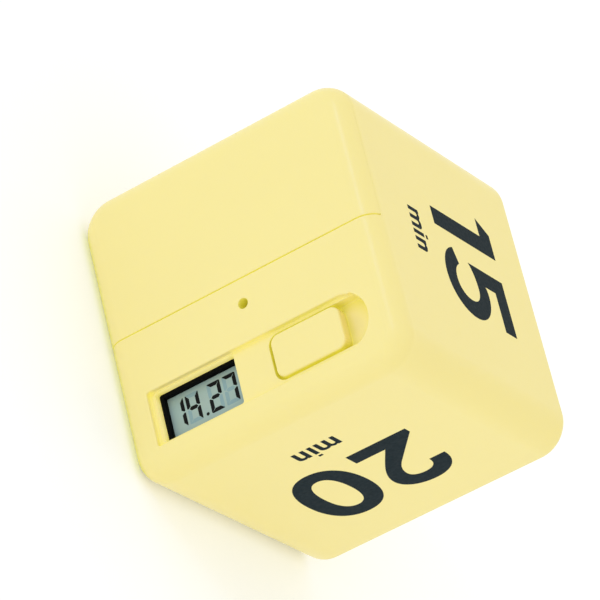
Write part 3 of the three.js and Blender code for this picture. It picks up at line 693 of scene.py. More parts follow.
class Shader:
    """A node material built step by step around one Principled shader."""

    def __init__(self, name):
        self.material = bpy.data.materials.new(name)
        self.material.use_nodes = True
        self.tree = self.material.node_tree
        self.surface = self.tree.nodes["Principled BSDF"]
        self.place = self.tree.nodes.new("ShaderNodeTexCoord").outputs["Object"]

    def node(self, kind, **inputs):
        """Adds a node and fills in its inputs."""
        made = self.tree.nodes.new(kind)
        for key, value in inputs.items():
            made.inputs[key.replace("_", " ")].default_value = value
        return made

    def noise(self, scale, detail=2.0, roughness=0.5, stretch=None):
        """Noise from 0 to 1 with so many spots to the metre."""
        noise = self.node("ShaderNodeTexNoise", Scale=scale, Detail=detail, Roughness=roughness)
        source = self.place
        if stretch:
            mapping = self.node("ShaderNodeMapping", Scale=stretch)
            self.tree.links.new(source, mapping.inputs["Vector"])
            source = mapping.outputs["Vector"]
        self.tree.links.new(source, noise.inputs["Vector"])
        return noise.outputs["Fac"]

    def hollow(self, distance, own=False):
        """How open a spot is: 0 deep in a gap, 1 where nothing, or nothing of its own, stands near."""
        occlusion = self.node("ShaderNodeAmbientOcclusion", Distance=distance)
        occlusion.only_local = own
        occlusion.samples = 8
        return occlusion.outputs["AO"]

    def blend(self, share, first, second):
        """A colour between two, by a share that varies over the surface."""
        mix = self.tree.nodes.new("ShaderNodeMix")
        mix.data_type = "RGBA"
        for socket, value in ((mix.inputs[6], first), (mix.inputs[7], second)):
            if isinstance(value, bpy.types.NodeSocket):
                self.tree.links.new(value, socket)
            else:
                socket.default_value = (*value[:3], 1)
        self.tree.links.new(share, mix.inputs[0])
        return mix.outputs[2]

    def spread(self, share, low, high, start=0.3, end=0.7):
        """A value between two, by a share that varies over the surface."""
        spread = self.node(
            "ShaderNodeMapRange", From_Min=start, From_Max=end, To_Min=low, To_Max=high
        )
        self.tree.links.new(share, spread.inputs["Value"])
        return spread.outputs["Result"]

    def combine(self, how, first, second):
        """One value from two: their sum, or the lesser of them."""
        made = self.tree.nodes.new("ShaderNodeMath")
        made.operation = how
        self.tree.links.new(first, made.inputs[0])
        self.tree.links.new(second, made.inputs[1])
        return made.outputs["Value"]

    def relief(self, height, depth, strength=1.0):
        """Raises the surface by a height that varies over it."""
        bump = self.node("ShaderNodeBump", Strength=strength, Distance=depth)
        self.tree.links.new(height, bump.inputs["Height"])
        if self.surface.inputs["Normal"].links:
            self.tree.links.new(self.surface.inputs["Normal"].links[0].from_socket, bump.inputs["Normal"])
        self.tree.links.new(bump.outputs["Normal"], self.surface.inputs["Normal"])

    def set(self, **sockets):
        """Sets the shader's own sockets, to a value or to what another node gives."""
        for key, value in sockets.items():
            socket = self.surface.inputs[key.replace("_", " ")]
            if isinstance(value, bpy.types.NodeSocket):
                self.tree.links.new(value, socket)
            else:
                socket.default_value = value


def shade(rgb, strength):
    """A colour made lighter or darker."""
    return tuple(min(1.0, channel * strength) for channel in rgb)


def once(build, *details):
    """A function that builds a material from its details the first time, and then keeps it."""
    made = []

    def get():
        if not made:
            made.append(build(*details))
        return made[0]

    return get


def yellow_plastic(name, gaps, thin):
    """Satin pale yellow plastic with a barely visible moulded grain, with painted shade and painted glow. A
    deeper yellow is painted into its folds and gaps, and a painted glow is emitted in its hollows, in narrow
    gaps beside other pieces where it has some, and, when thin is set, steadily all over."""
    case = bpy.context.scene.timer_case
    steady_painted_glow = case.window_glow if thin else 0.0
    shader = Shader(name)
    drift = shader.noise(45, 3.0)
    pale = shader.blend(drift, shade(case.plastic, 0.985), shade(case.plastic, 1.015))
    fold = shader.hollow(case.fold_reach, not gaps)
    hollow = shader.hollow(case.hollow_reach, True)
    glow = shader.spread(hollow, case.glow + steady_painted_glow, steady_painted_glow, 0.1, 0.95)
    if gaps:
        gap = shader.hollow(case.gap_reach)
        glow = shader.combine("ADD", glow, shader.spread(gap, case.gap_glow, 0.0, 0.05, 0.65))
    open_share = shader.combine("MINIMUM", fold, hollow)
    depth = shader.spread(open_share, 0.0, 1.0, 0.1, 0.9)
    # Painted shade: the base colour turns towards the deeper yellow where a fold or hollow is near. Painted
    # glow: the emission rises in hollows and narrow gaps, and stands in for bounced light.
    shader.set(
        Base_Color=shader.blend(shader.spread(open_share, 1.0, 0.0, 0.2, 0.85), pale, case.plastic_deep),
        Roughness=shader.spread(shader.noise(900, 3.0), 0.28, 0.36),
        Specular_IOR_Level=0.35,
        Subsurface_Weight=0.12,
        Subsurface_Radius=(0.9, 0.85, 0.25),
        Subsurface_Scale=0.4 * MM,
        Emission_Color=shader.blend(depth, case.plastic_glow, case.plastic),
        Emission_Strength=glow,
    )
    shader.relief(shader.noise(2600, 2.0), 0.012 * MM, 0.5)
    return shader.material


# Yellow plastic with painted shade and glow: for the pieces that meet across narrow gaps, with painted glow
# in those gaps; for the casing, without it; and for the window's walls, with a steady painted glow
case_plastic = once(yellow_plastic, "case_plastic", True, False)
casing_plastic = once(yellow_plastic, "casing_plastic", False, False)
window_plastic = once(yellow_plastic, "window_plastic", True, True)


@once
def ink():
    """Dark slate screen ink, a little uneven, with a soft sheen."""
    case = bpy.context.scene.timer_case
    shader = Shader("ink")
    shader.set(
        Base_Color=shader.blend(shader.noise(700, 4.0), shade(case.ink, 0.85), shade(case.ink, 1.2)),
        Roughness=shader.spread(shader.noise(1500, 3.0), 0.45, 0.6),
        Specular_IOR_Level=0.06,
    )
    shader.relief(shader.noise(3200, 3.0), 0.006 * MM, 0.5)
    return shader.material


@once
def display_field():
    """Grey-green reflective display with faint warmer patches."""
    display = bpy.context.scene.timer_display
    shader = Shader("display_field")
    patches = shader.blend(shader.noise(260, 1.0), display.field, display.field_warm)
    grain = shader.spread(shader.noise(9000, 2.0), 0.0, 0.08)
    shader.set(
        Base_Color=shader.blend(grain, patches, shade(display.field, 0.5)),
        Roughness=shader.spread(shader.noise(1200, 2.0), 0.32, 0.42),
        Specular_IOR_Level=0.3,
    )
    return shader.material


def segment_print(name, setting, darker, lighter, low, high, gloss):
    """Flat print on the display, a little uneven."""
    rgb = getattr(bpy.context.scene.timer_display, setting)
    shader = Shader(name)
    shader.set(
        Base_Color=shader.blend(shader.noise(2500), shade(rgb, darker), shade(rgb, lighter)),
        Roughness=shader.spread(shader.noise(1200, 2.0), low, high),
        Specular_IOR_Level=gloss,
    )
    return shader.material


# Segments that are on, near black, and segments that are off, barely darker and bluer than the field
display_segment = once(segment_print, "display_segment", "segment", 0.8, 1.3, 0.4, 0.5, 0.12)
display_ghost = once(segment_print, "display_ghost", "ghost", 0.95, 1.05, 0.34, 0.42, 0.3)


@once
def foam_rubber():
    """Matte black closed-cell foam."""
    shader = Shader("foam_rubber")
    cells = shader.noise(5200, 4.0, 0.65)
    shader.set(
        Base_Color=shader.blend(cells, (0.002, 0.0025, 0.003), (0.006, 0.007, 0.008)),
        Roughness=shader.spread(cells, 0.75, 0.95),
        Specular_IOR_Level=0.03,
    )
    shader.relief(cells, 0.06 * MM, 0.7)
    return shader.material


def moulding(name, rgb, low, high, grain=2400, depth=0.015):
    """Moulded plastic with a fine grain and a slight drift in its colour."""
    shader = Shader(name)
    shader.set(
        Base_Color=shader.blend(shader.noise(160, 3.0), shade(rgb, 0.93), shade(rgb, 1.06)),
        Roughness=shader.spread(shader.noise(1100, 3.0), low, high),
        Specular_IOR_Level=0.45,
    )
    shader.relief(shader.noise(grain, 3.0), depth * MM, 0.6)
    return shader.material


# White plastic of the display holder, black plastic of the other parts, and pale grey printing
white_moulding = once(moulding, "white_moulding", (0.8, 0.8, 0.77), 0.42, 0.55)
black_moulding = once(moulding, "black_moulding", (0.018, 0.018, 0.02), 0.38, 0.55)
pale_print = once(moulding, "pale_print", (0.7, 0.71, 0.72), 0.4, 0.55, 3200, 0.006)


def metal(name, rgb, low, high, stretch=(1, 1, 1), scale=3000, depth=0.006):
    """Plated or pressed metal with fine rolling marks and dull spots."""
    shader = Shader(name)
    dull = shader.noise(400, 4.0, 0.6)
    shader.set(
        Base_Color=shader.blend(dull, shade(rgb, 0.86), shade(rgb, 1.05)),
        Metallic=1.0,
        Roughness=shader.spread(dull, low, high),
    )
    shader.relief(shader.noise(scale, 3.0, 0.6, stretch), depth * MM, 0.5)
    return shader.material


# Tinned sheet, zinc on the screws, solder, nickel on the contacts, and the cells' copper-coloured band
tinned_steel = once(metal, "tinned_steel", (0.66, 0.67, 0.68), 0.26, 0.42, (1, 1, 0.08))
screw_steel = once(metal, "screw_steel", (0.6, 0.61, 0.63), 0.24, 0.4)
solder = once(metal, "solder", (0.68, 0.69, 0.7), 0.18, 0.36, (1, 1, 1), 1500, 0.02)
contact_nickel = once(metal, "contact_nickel", (0.74, 0.72, 0.66), 0.2, 0.34, (0.1, 1, 1))
cell_band = once(metal, "cell_band", (0.72, 0.4, 0.2), 0.24, 0.36, (1, 1, 0.06), 900, 0.02)


def board_coat(name, dark, pale, depth):
    """Green coat of the board, with its glass weave showing through."""
    shader = Shader(name)
    weave = shader.noise(1400, 2.0, 0.5, (1, 1, 0.25))
    shader.set(
        Base_Color=shader.blend(weave, dark, pale),
        Roughness=shader.spread(shader.noise(900, 3.0), 0.24, 0.36),
        Coat_Weight=0.4,
        Coat_Roughness=0.15,
    )
    if depth:
        shader.relief(weave, depth * MM, 0.5)
    return shader.material


# The coat on the bare board, and the paler coat over its copper tracks
solder_mask = once(board_coat, "solder_mask", (0.008, 0.085, 0.03), (0.014, 0.13, 0.045), 0.01)
covered_copper = once(board_coat, "covered_copper", (0.03, 0.2, 0.06), (0.045, 0.26, 0.085), 0)


@once
def epoxy():
    """Glossy black epoxy with a faint orange-peel surface."""
    shader = Shader("epoxy")
    shader.set(
        Base_Color=shader.blend(shader.noise(500, 2.0), (0.004, 0.004, 0.005), (0.012, 0.012, 0.013)),
        Roughness=shader.spread(shader.noise(700, 2.0), 0.12, 0.26),
        Specular_IOR_Level=0.6,
    )
    shader.relief(shader.noise(900, 2.0), 0.05 * MM, 0.5)
    return shader.material


@once
def layered_rubber():
    """Grey silicone with fine dark conducting layers."""
    shader = Shader("layered_rubber")
    wave = shader.node("ShaderNodeTexWave", Scale=800.0, Distortion=0.4, Detail=1.0)
    wave.bands_direction = "Z"
    shader.tree.links.new(shader.place, wave.inputs["Vector"])
    shader.set(
        Base_Color=shader.blend(wave.outputs["Fac"], (0.05, 0.052, 0.056), (0.42, 0.43, 0.45)),
        Roughness=shader.spread(shader.noise(900, 2.0), 0.6, 0.8),
    )
    shader.relief(wave.outputs["Fac"], 0.02 * MM, 0.4)
    return shader.material


@once
def cell_sleeve():
    """Dark satin sleeve of a battery cell, shrunk tight with faint lengthwise tension marks."""
    shader = Shader("cell_sleeve")
    marks = shader.noise(900, 3.0, 0.5, (1, 1, 0.06))
    shader.set(
        Base_Color=shader.blend(marks, (0.022, 0.026, 0.031), (0.036, 0.041, 0.048)),
        Metallic=0.35,
        Roughness=shader.spread(marks, 0.26, 0.4),
        Coat_Weight=0.3,
        Coat_Roughness=0.2,
    )
    shader.relief(marks, 0.02 * MM, 0.4)
    return shader.material


def insulation(name, rgb):
    """Soft wire insulation, slightly waxy, with a fine drawn texture."""
    shader = Shader(name)
    drawn = shader.noise(1300, 3.0, 0.6, (0.1, 1, 1))
    shader.set(
        Base_Color=shader.blend(drawn, shade(rgb, 0.85), shade(rgb, 1.15)),
        Roughness=shader.spread(drawn, 0.34, 0.48),
        Subsurface_Weight=0.1,
        Subsurface_Radius=(1.0, 0.3, 0.2),
        Subsurface_Scale=0.3 * MM,
    )
    shader.relief(drawn, 0.02 * MM, 0.5)
    return shader.material


# Insulation of the positive lead and of the negative lead
red_insulation = once(insulation, "red_insulation", (0.42, 0.012, 0.01))
black_insulation = once(insulation, "black_insulation", (0.012, 0.012, 0.013))


# Case


def front_slab(case, far):
    """The front of the cube with its rounded edge, back to a depth."""
    radius = case.front_radius
    rings = []
    for side, end in bend(12, 0, math.acos(1 - far / radius)):
        rings.append([place(x, y, radius * end) for x, y in cube_outline(case, radius * side)])
    return skin(rings)


def half_space(left, right):
    """A block that holds everything between two places across the cube."""
    return block(left, right, -SIZE, 2 * SIZE, -SIZE, 2 * SIZE)


def casing(case):
    """Five-sided casing in one skin, from its back round its sides and down into its cavity."""
    rings = []

    def add(inset, depth):
        rings.append([place(x, y, depth) for x, y in cube_outline(case, inset)])

    for side, end in bend(10):
        add(case.back_radius * side, SIZE - case.back_radius * end)
    reach = math.acos(1 - case.lid_depth / case.front_radius)
    for side, end in reversed(list(bend(3, reach))):
        add(case.front_radius * side, case.front_radius * end)
    ledge = case.lid_depth + case.register
    add(case.wall / 2, case.lid_depth)
    add(case.wall / 2, ledge)
    add(case.wall, ledge)
    for bottom, side in bend(6):
        add(case.wall + case.inner_fillet * side, SIZE - case.wall - case.inner_fillet * bottom)
    return skin(rings)


def hook_places(bay):
    """Heights of the two hooks that hold the display half in the casing."""
    return HALF - bay.hook_place, HALF + bay.hook_place


class TIMER_OT_casing(Operator):
    """Build the five-sided casing with its screw posts"""

    bl_idname = "timer.casing"
    bl_label = "Casing"

    def execute(self, context):
        case, bay = settings("case", "bay")
        shell = casing(case)
        flange_far = case.lid_depth + case.register
        near = flange_far + case.seat
        back = SIZE - case.wall / 2
        posts = []
        holes = []
        for screw in map(Box, CASE_SCREWS):
            x, y = screw.x, screw.y
            posts.append(rod(bay.post, x, y, near, back, case.edge))
            posts.append(block(-HALF + case.wall / 2, x, y - bay.rib, y + bay.rib, near, back))
            holes.append(rod(bay.screw_hole, x, y, near - PAST, near + bay.post_hole, 0, 32))
        inside = HALF - case.wall
        reach = bay.hook + case.fit
        hook_far = flange_far + bay.hook_length
        for y in hook_places(bay):
            holes.append(
                block(inside - PAST, inside + bay.groove, y - reach, y + reach,
                      hook_far - 2 * bay.hook_nose, hook_far + BITE)
            )
        carve(shell, add=posts, cut=holes)
        dress(shell, "casing", casing_plastic(), "case", "main_shell")
        return {"FINISHED"}


def recess_outline(recess, margin):
    """Outline of the long recess: square at its lower end and round at its upper end."""
    radius = recess.width / 2
    x = HALF - recess.edge_margin - radius
    corner = 0.5 * MM
    outline = [
        *arc(x + radius - corner, recess.end_margin + corner, corner, -90, 0, 4),
        *arc(x, SIZE - recess.end_margin - radius, radius, 0, 180, 32),
        *arc(x - radius + corner, recess.end_margin + corner, corner, 180, 270, 4),
    ]
    return offset(outline, margin)


def slot_outline(recess, knob, margin):
    """Outline of the knob's pocket: round corners below, and the recess's round end above."""
    gap = recess.slot_gap
    radius = recess.width / 2
    x = knob.x
    reach = knob.half + gap
    top = SIZE - recess.end_margin - radius
    angle = math.degrees(math.acos(reach / radius))
    corner = recess.knob_radius + gap
    low = knob.bottom - recess.slot_lead
    outline = [
        *arc(x + reach - corner, low + corner, corner, -90, 0, 8),
        *arc(x, top, radius, angle, 180 - angle, 20),
        *arc(x - reach + corner, low + corner, corner, 180, 270, 8),
    ]
    return offset(outline, margin)


def battery_room(bay):
    """Room for both cells, worked out from the cells and the lower contact."""
    room = Box("battery_cell_1")
    room.right += 0.1 * MM
    room.left = Box("battery_cell_2").left - 0.1 * MM
    room.bottom = Box("bridge_plate").bottom - 0.05 * MM
    room.top = SIZE - room.bottom
    room.far += 0.1 * MM
    room.tray_bottom = room.bottom - bay.tray_wall
    return room


def tray_solid(case, bay, room):
    """Battery tray: one room for both cells, with the ledges that the cover hooks under."""
    ledge = case.cover_skin + 2 * case.fit
    left = room.left - bay.tray_wall
    right = room.right + bay.tray_wall
    bottom = room.tray_bottom
    top = SIZE - bottom
    reach = (bottom - case.wall) * bay.rail_share
    tray = block(left, right, bottom, top, ledge, room.far + bay.tray_back)
    rail = block(left, room.right - bay.rail_end, bottom - reach, top + reach, ledge, ledge + bay.rail)
    lip = cube_outline(case, case.wall / 2 + case.fit)
    flange = slab(lip, case.lid_depth, case.lid_depth + case.register)
    return carve(tray, add=[rail, flange])


def polarity_marks(case, bay, room):
    """Cutters for the plus and minus signs beside the cells' ends."""
    ledge = case.cover_skin + 2 * case.fit
    near = ledge - 0.1 * MM
    far = ledge + bay.sign_depth
    edge = room.tray_bottom - (room.tray_bottom - case.wall) * bay.rail_share
    low = (edge + room.bottom) / 2
    marks = []
    for name, plus in (("battery_cell_1", SIZE - low), ("battery_cell_2", low)):
        x = Box(name).x
        for y in (low, SIZE - low):
            marks.append(block_at(x, y, bay.sign, bay.sign_stroke, near, far))
        for start, stop in ((plus - bay.sign, plus), (plus, plus + bay.sign)):
            marks.append(block(x - bay.sign_stroke, x + bay.sign_stroke, start, stop, near, far))
    return marks


def panel_body(case, bay, parts, room):
    """The display half before its recess and bosses: its skin, its flange and the battery tray."""
    start = case.parting / 2
    flange_far = case.lid_depth + case.register
    panel = carve(front_slab(case, case.lid_depth), keep=[half_space(start, SIZE)])
    soften(panel, case.parting_edge, lambda x, y, depth: x < start + 0.01 * MM)
    lip = case.wall / 2 + case.fit
    flange = slab(cube_outline(case, lip), case.lid_depth - BITE, flange_far)
    flange = carve(flange, keep=[half_space(0, SIZE)])
    panel = carve(panel, add=[tray_solid(case, bay, room), flange])

    hollow = slab(cube_outline(case, lip + case.register_width), case.panel_skin, flange_far + PAST)
    low = HALF - bay.tongue - bay.tongue_gap
    high = HALF + bay.tongue + bay.tongue_gap
    holes = [
        room.block(-PAST, room.far, 0, 0.3 * MM),
        carve(hollow, keep=[half_space(room.right + 1.5 * MM, SIZE)]),
        block(room.left - 2.3 * MM, room.left + PAST, low, high, 0, case.lid_depth),
        block(-PAST, 2 * MM, low, high, case.cover_skin, 2.65 * MM),
    ]
    near = Box("battery_cell_1").depth + parts.lug_place - case.fit
    wide = parts.lug_width + case.fit
    for plate in (Box("positive_plate"), Box("negative_plate")):
        holes.append(
            block(plate.x - wide, plate.x + wide, room.top - PAST, room.top + 2.3 * MM,
                  near, near + parts.lug + 2 * case.fit)
        )
    return carve(panel, cut=holes + polarity_marks(case, bay, room))


def recess_pieces(case, recess):
    """What the recess, the knob's pocket, the window and the sound hole add to the skin and take off."""
    knob = Box("switch_knob")
    stem = Box("switch_lever")
    inner = case.panel_skin - BITE
    floor = recess.depth + recess.floor
    added = [
        slab(recess_outline(recess, 1.2 * MM), inner, floor),
        slab(slot_outline(recess, knob, recess.slot_wall), inner, recess.slot_depth + recess.slot_floor),
        rod(recess.hole_radius + 0.6 * MM, recess.hole_x, HALF, inner, 4.8 * MM, 0.1 * MM),
    ]
    window = Box("lcd_gasket").outline(recess.window_rim, 0.5 * MM, 5)
    sound_hole = arc(recess.hole_x, HALF, recess.hole_radius, 0, 352.5, 47)
    wide = recess.stem_width + recess.stem_gap
    tall = recess.stem_height + recess.stem_gap
    cut = [
        cutter(recess_outline(recess, 0), 0, recess.depth, recess.lip, 0.2 * MM),
        cutter(slot_outline(recess, knob, 0), recess.depth, recess.slot_depth, case.edge, 0.2 * MM),
        cutter(window, recess.depth, floor + PAST, 0.08 * MM),
        cutter(sound_hole, 0, 5 * MM, case.edge),
        block(stem.x - wide, stem.x + wide, stem.y - tall, stem.y + recess.travel + tall,
              recess.slot_depth - PAST, 6 * MM),
    ]
    return added, cut


class TIMER_OT_display_half(Operator):
    """Build the half of the front face that holds the display, the switch and the battery tray"""

    bl_idname = "timer.display_half"
    bl_label = "Display Half"

    def execute(self, context):
        case, recess, bay, parts = settings("case", "recess", "bay", "parts")
        panel = panel_body(case, bay, parts, battery_room(bay))
        added, cut = recess_pieces(case, recess)
        board = Box("main_pcb")
        flange_far = case.lid_depth + case.register
        for screw in map(Box, BOARD_SCREWS):
            x, y = screw.x, screw.y
            added.append(rod(bay.boss, x, y, case.panel_skin - BITE, board.near - case.seat))
            cut.append(rod(bay.screw_hole, x, y, board.near - bay.boss_hole, board.near + PAST, 0, 32))
        for screw in map(Box, CASE_SCREWS):
            x, y = screw.x, screw.y
            cut.append(rod(bay.screw_hole, x, y, case.lid_depth - PAST, flange_far + PAST, 0, 32))
        right = HALF - case.wall - case.fit
        far = flange_far + bay.hook_length
        for y in hook_places(bay):
            low = y - bay.hook
            high = y + bay.hook
            added.append(block(right - bay.hook_thickness, right, low, high, case.lid_depth - BITE, far))
            nose = right + bay.hook_nose
            added.append(block(right - BITE, nose, low, high, far - 1.2 * MM, far - 0.2 * MM, 0.1 * MM))
        carve(panel, add=added, cut=cut)
        dress(panel, "display_half", case_plastic(), "case", "front_panel")
        self.brighten_window(panel, recess)
        return {"FINISHED"}

    def brighten_window(self, panel, recess):
        """Gives the walls of the display window their own plastic, a copy with a steady painted glow."""
        gasket = Box("lcd_gasket")
        panel.data.materials.append(window_plastic())
        for face in panel.data.polygons:
            x, y, z = face.center
            sideways = abs(face.normal.y) < 0.5
            beside = gasket.left < x < gasket.right and gasket.bottom < z < gasket.top
            if sideways and beside and recess.depth < y - FRONT < recess.depth + recess.floor:
                face.material_index = 1


class TIMER_OT_cover(Operator):
    """Build the sliding battery cover with its rails and tongue"""

    bl_idname = "timer.cover"
    bl_label = "Battery Cover"

    def execute(self, context):
        case, bay = settings("case", "bay")
        room = battery_room(bay)
        end = -case.parting / 2
        depth = case.lid_depth - case.seat
        under = case.cover_skin - BITE
        cover = carve(front_slab(case, depth), keep=[half_space(-SIZE, end)])
        soften(cover, case.parting_edge, lambda x, y, d: x > end - 0.01 * MM)
        hollow = slab(cube_outline(case, case.wall), case.cover_skin, case.lid_depth + PAST)
        carve(cover, cut=[hollow])

        beside = room.tray_bottom - case.wall
        edge = room.tray_bottom - beside * bay.rail_share
        leg_inner = edge - beside * 0.08
        leg_outer = leg_inner - beside * 0.23
        foot_inner = edge + beside * 0.2
        foot_near = case.cover_skin + 3 * case.fit + bay.rail
        foot_far = min(foot_near + 0.6 * MM, depth)
        right = room.right - bay.rail_end
        left = right + (room.left - bay.tray_wall - right) * 0.9
        added = []
        for flip in (lambda y: y, lambda y: SIZE - y):
            for start, stop, near, far in (
                (leg_outer, leg_inner, under, foot_far),
                (leg_inner - BITE, foot_inner, foot_near, foot_far - 0.1 * MM),
            ):
                low, high = sorted((flip(start), flip(stop)))
                added.append(block(left, right, low, high, near, far))

        near = case.cover_skin + case.fit
        far = near + bay.rail
        low = HALF - bay.tongue
        high = HALF + bay.tongue
        tongue_end = Box("battery_cover").right
        added.append(block(-3 * MM, end - BITE, low, high, under, far + BITE))
        added.append(block(-2.8 * MM, tongue_end, low + BITE, high - BITE, near, far, 0.15 * MM))
        rib = 0.4 * MM
        rib_far = case.cover_skin + 2 * rib
        for y in (HALF - 7 * MM, HALF + 7 * MM):
            added.append(block(room.left + 0.5 * MM, -3.2 * MM, y - rib, y + rib, under, rib_far))
        carve(cover, add=added)
        dress(cover, "battery_door", case_plastic(), "case", "battery_cover", body="cover")
        return {"FINISHED"}


class TIMER_OT_knob(Operator):
    """Build the sliding switch knob with its stem"""

    bl_idname = "timer.knob"
    bl_label = "Switch Knob"

    def execute(self, context):
        case, recess, parts = settings("case", "recess", "parts")
        knob = Box("switch_knob")
        lever = Box("switch_lever")
        back = recess.slot_depth - case.fit
        cap = slab(knob.outline(0, recess.knob_radius, 12), knob.near, back, recess.knob_soft, 0.1 * MM, 6)
        stem = block_at(lever.x, lever.y, recess.stem_width, recess.stem_height, back - 0.3 * MM, knob.far)
        hole = parts.stick + case.fit
        socket = block_at(lever.x, lever.y, hole, hole, lever.near - case.fit, knob.far + PAST)
        carve(cap, add=[stem], cut=[socket])
        dress(cap, "slide_knob", case_plastic(), "case", "switch_knob", body="knob")
        return {"FINISHED"}


# Printed numerals. A glyph is drawn in millimetres for a numeral 25 high: a pair of numbers is a
# straight line to that point, six are a curve with two handles.

GLYPHS = {
    "0": [
        [(0, 12.6), (0, 4.5, 2.7, -0.3, 7.35, -0.3), (12.0, -0.3, 14.7, 4.5, 14.7, 12.5),
         (14.7, 20.5, 12.0, 25.1, 7.35, 25.1), (2.7, 25.1, 0, 20.5, 0, 12.6)],
        [(4.05, 12.5), (4.05, 17.8, 5.3, 20.55, 7.35, 20.55), (9.5, 20.55, 10.7, 17.8, 10.7, 12.5),
         (10.7, 7.0, 9.5, 4.0, 7.35, 4.0), (5.2, 4.0, 4.05, 7.0, 4.05, 12.5)],
    ],
    "1": [
        [(4.4, 0), (8.7, 0), (8.7, 25), (2.65, 25), (0, 20.35), (4.4, 20.35)],
    ],
    "2": [
        [(0, 0), (14.35, 0), (14.35, 4.35), (7.4, 4.35), (10.6, 9.6, 14.1, 14.0, 14.1, 18.8),
         (14.1, 22.5, 11.3, 25.05, 7.4, 25.05), (3.2, 25.05, 0.35, 21.5, 0.35, 16.35), (4.05, 16.35),
         (4.05, 19.0, 5.3, 20.5, 7.35, 20.5), (9.1, 20.5, 10.3, 19.5, 10.3, 17.8),
         (10.3, 15.2, 9.0, 13.1, 7.5, 11.3), (0, 2.1)],
    ],
    "3": [
        [(0.5, 18.3), (0.7, 22.5, 3.4, 25.1, 7.1, 25.1), (10.9, 25.1, 13.5, 22.5, 13.5, 18.9),
         (13.5, 16.3, 12.4, 14.4, 10.5, 13.4), (12.8, 12.4, 14.1, 10.2, 14.1, 7.2),
         (14.1, 2.8, 11.2, -0.3, 7.0, -0.3), (2.9, -0.3, 0.1, 2.6, 0, 7.1), (4.1, 7.1),
         (4.2, 5.0, 5.3, 3.9, 7.0, 3.9), (8.8, 3.9, 9.95, 5.2, 9.95, 7.4),
         (9.95, 9.7, 8.8, 11.1, 6.9, 11.1), (5.3, 11.1), (5.3, 15.2), (6.8, 15.2),
         (8.4, 15.2, 9.4, 16.4, 9.4, 18.2), (9.4, 19.9, 8.5, 20.9, 7.0, 20.9),
         (5.5, 20.9, 4.6, 20.0, 4.5, 18.3)],
    ],
    "5": [
        [(1.7, 24.95), (1.7, 10.9), (3.2, 12.1, 5.2, 12.75, 7.5, 12.75),
         (9.9, 12.75, 11.55, 10.95, 11.55, 8.4), (11.55, 5.9, 10.0, 4.0, 7.65, 4.0),
         (5.8, 4.0, 4.4, 4.95, 3.55, 6.55), (0, 5.25), (1.0, 1.95, 4.0, -0.15, 7.7, -0.15),
         (12.4, -0.15, 15.75, 3.75, 15.75, 8.45), (15.75, 13.05, 12.2, 16.8, 7.8, 16.8),
         (7.0, 16.8, 6.3, 16.6, 5.7, 16.25), (5.7, 20.45), (15.05, 20.45), (15.05, 24.95)],
    ],
    "6": [
        [(8.1, 25), (2.7, 17.6, 0, 13.6, 0, 8.0), (0, 3.1, 2.9, -0.3, 7.3, -0.3),
         (11.7, -0.3, 14.6, 3.1, 14.6, 7.8), (14.6, 12.3, 12.0, 15.5, 8.1, 15.5), (13.2, 25)],
        [(7.3, 11.6), (9.3, 11.6, 10.5, 10.1, 10.5, 7.7), (10.5, 5.3, 9.3, 3.8, 7.3, 3.8),
         (5.3, 3.8, 4.1, 5.3, 4.1, 7.7), (4.1, 10.1, 5.3, 11.6, 7.3, 11.6)],
    ],
}

WORD_HEIGHT = 4.05
WORD_STROKE = 0.95
WORD_PITCH = 1.93


def arched_letter(stems):
    """An n or m: stems joined by arches."""
    stroke = WORD_STROKE
    top = WORD_HEIGHT
    width = WORD_PITCH * (stems - 1) + stroke
    outline = [(0, 0), (stroke, 0)]
    inner = (WORD_PITCH - stroke) / 2
    for i in range(stems - 1):
        left = stroke + WORD_PITCH * i
        outline += reversed(arc(left + inner, top - stroke - inner, inner, 0, 180, 10))
        outline += [(left + 2 * inner, 0), (left + 2 * inner + stroke, 0)]
    outline += arc(width - 1.05, top - 1.05, 1.05, 0, 90, 8)
    for i in reversed(range(1, stems - 1)):
        notch = WORD_PITCH * i + stroke / 2
        outline += [(notch + 0.75, top), (notch + 0.1, top - 0.4), (notch - 0.6, top)]
    outline += [(stroke + 0.5, top), (stroke, top - 0.3), (stroke, top), (0, top)]
    return [outline]


def word_letters():
    """Outlines of the letters of the word min, each with its place along the line."""
    dot = [(0, 4.75), (WORD_STROKE, 4.75), (WORD_STROKE, 5.5), (0, 5.5)]
    bar = [(0, 0), (WORD_STROKE, 0), (WORD_STROKE, WORD_HEIGHT), (0, WORD_HEIGHT)]
    return [(0, arched_letter(3)), (5.5, [bar]), (5.5, [dot]), (7.25, arched_letter(2))]


def traced(contour, steps=14):
    """Points round one contour of a glyph, with its curves in short steps."""
    points = []
    for part in contour:
        if len(part) == 2:
            points.append(Vector(part))
            continue
        start = points[-1]
        one, two, end = Vector(part[0:2]), Vector(part[2:4]), Vector(part[4:6])
        for i in range(1, steps + 1):
            t = i / steps
            s = 1 - t
            points.append(start * s**3 + one * (3 * s * s * t) + two * (3 * s * t * t) + end * t**3)
    if (points[0] - points[-1]).length < 1e-6:
        points.pop()
    return metres(points)


def face_matrix(right, normal, origin):
    """The plane of one face: right and normal as seen by a reader, up the face towards its back."""
    up = normal.cross(right)
    return Matrix.Translation(origin) @ Matrix((right, up, normal)).transposed().to_4x4()


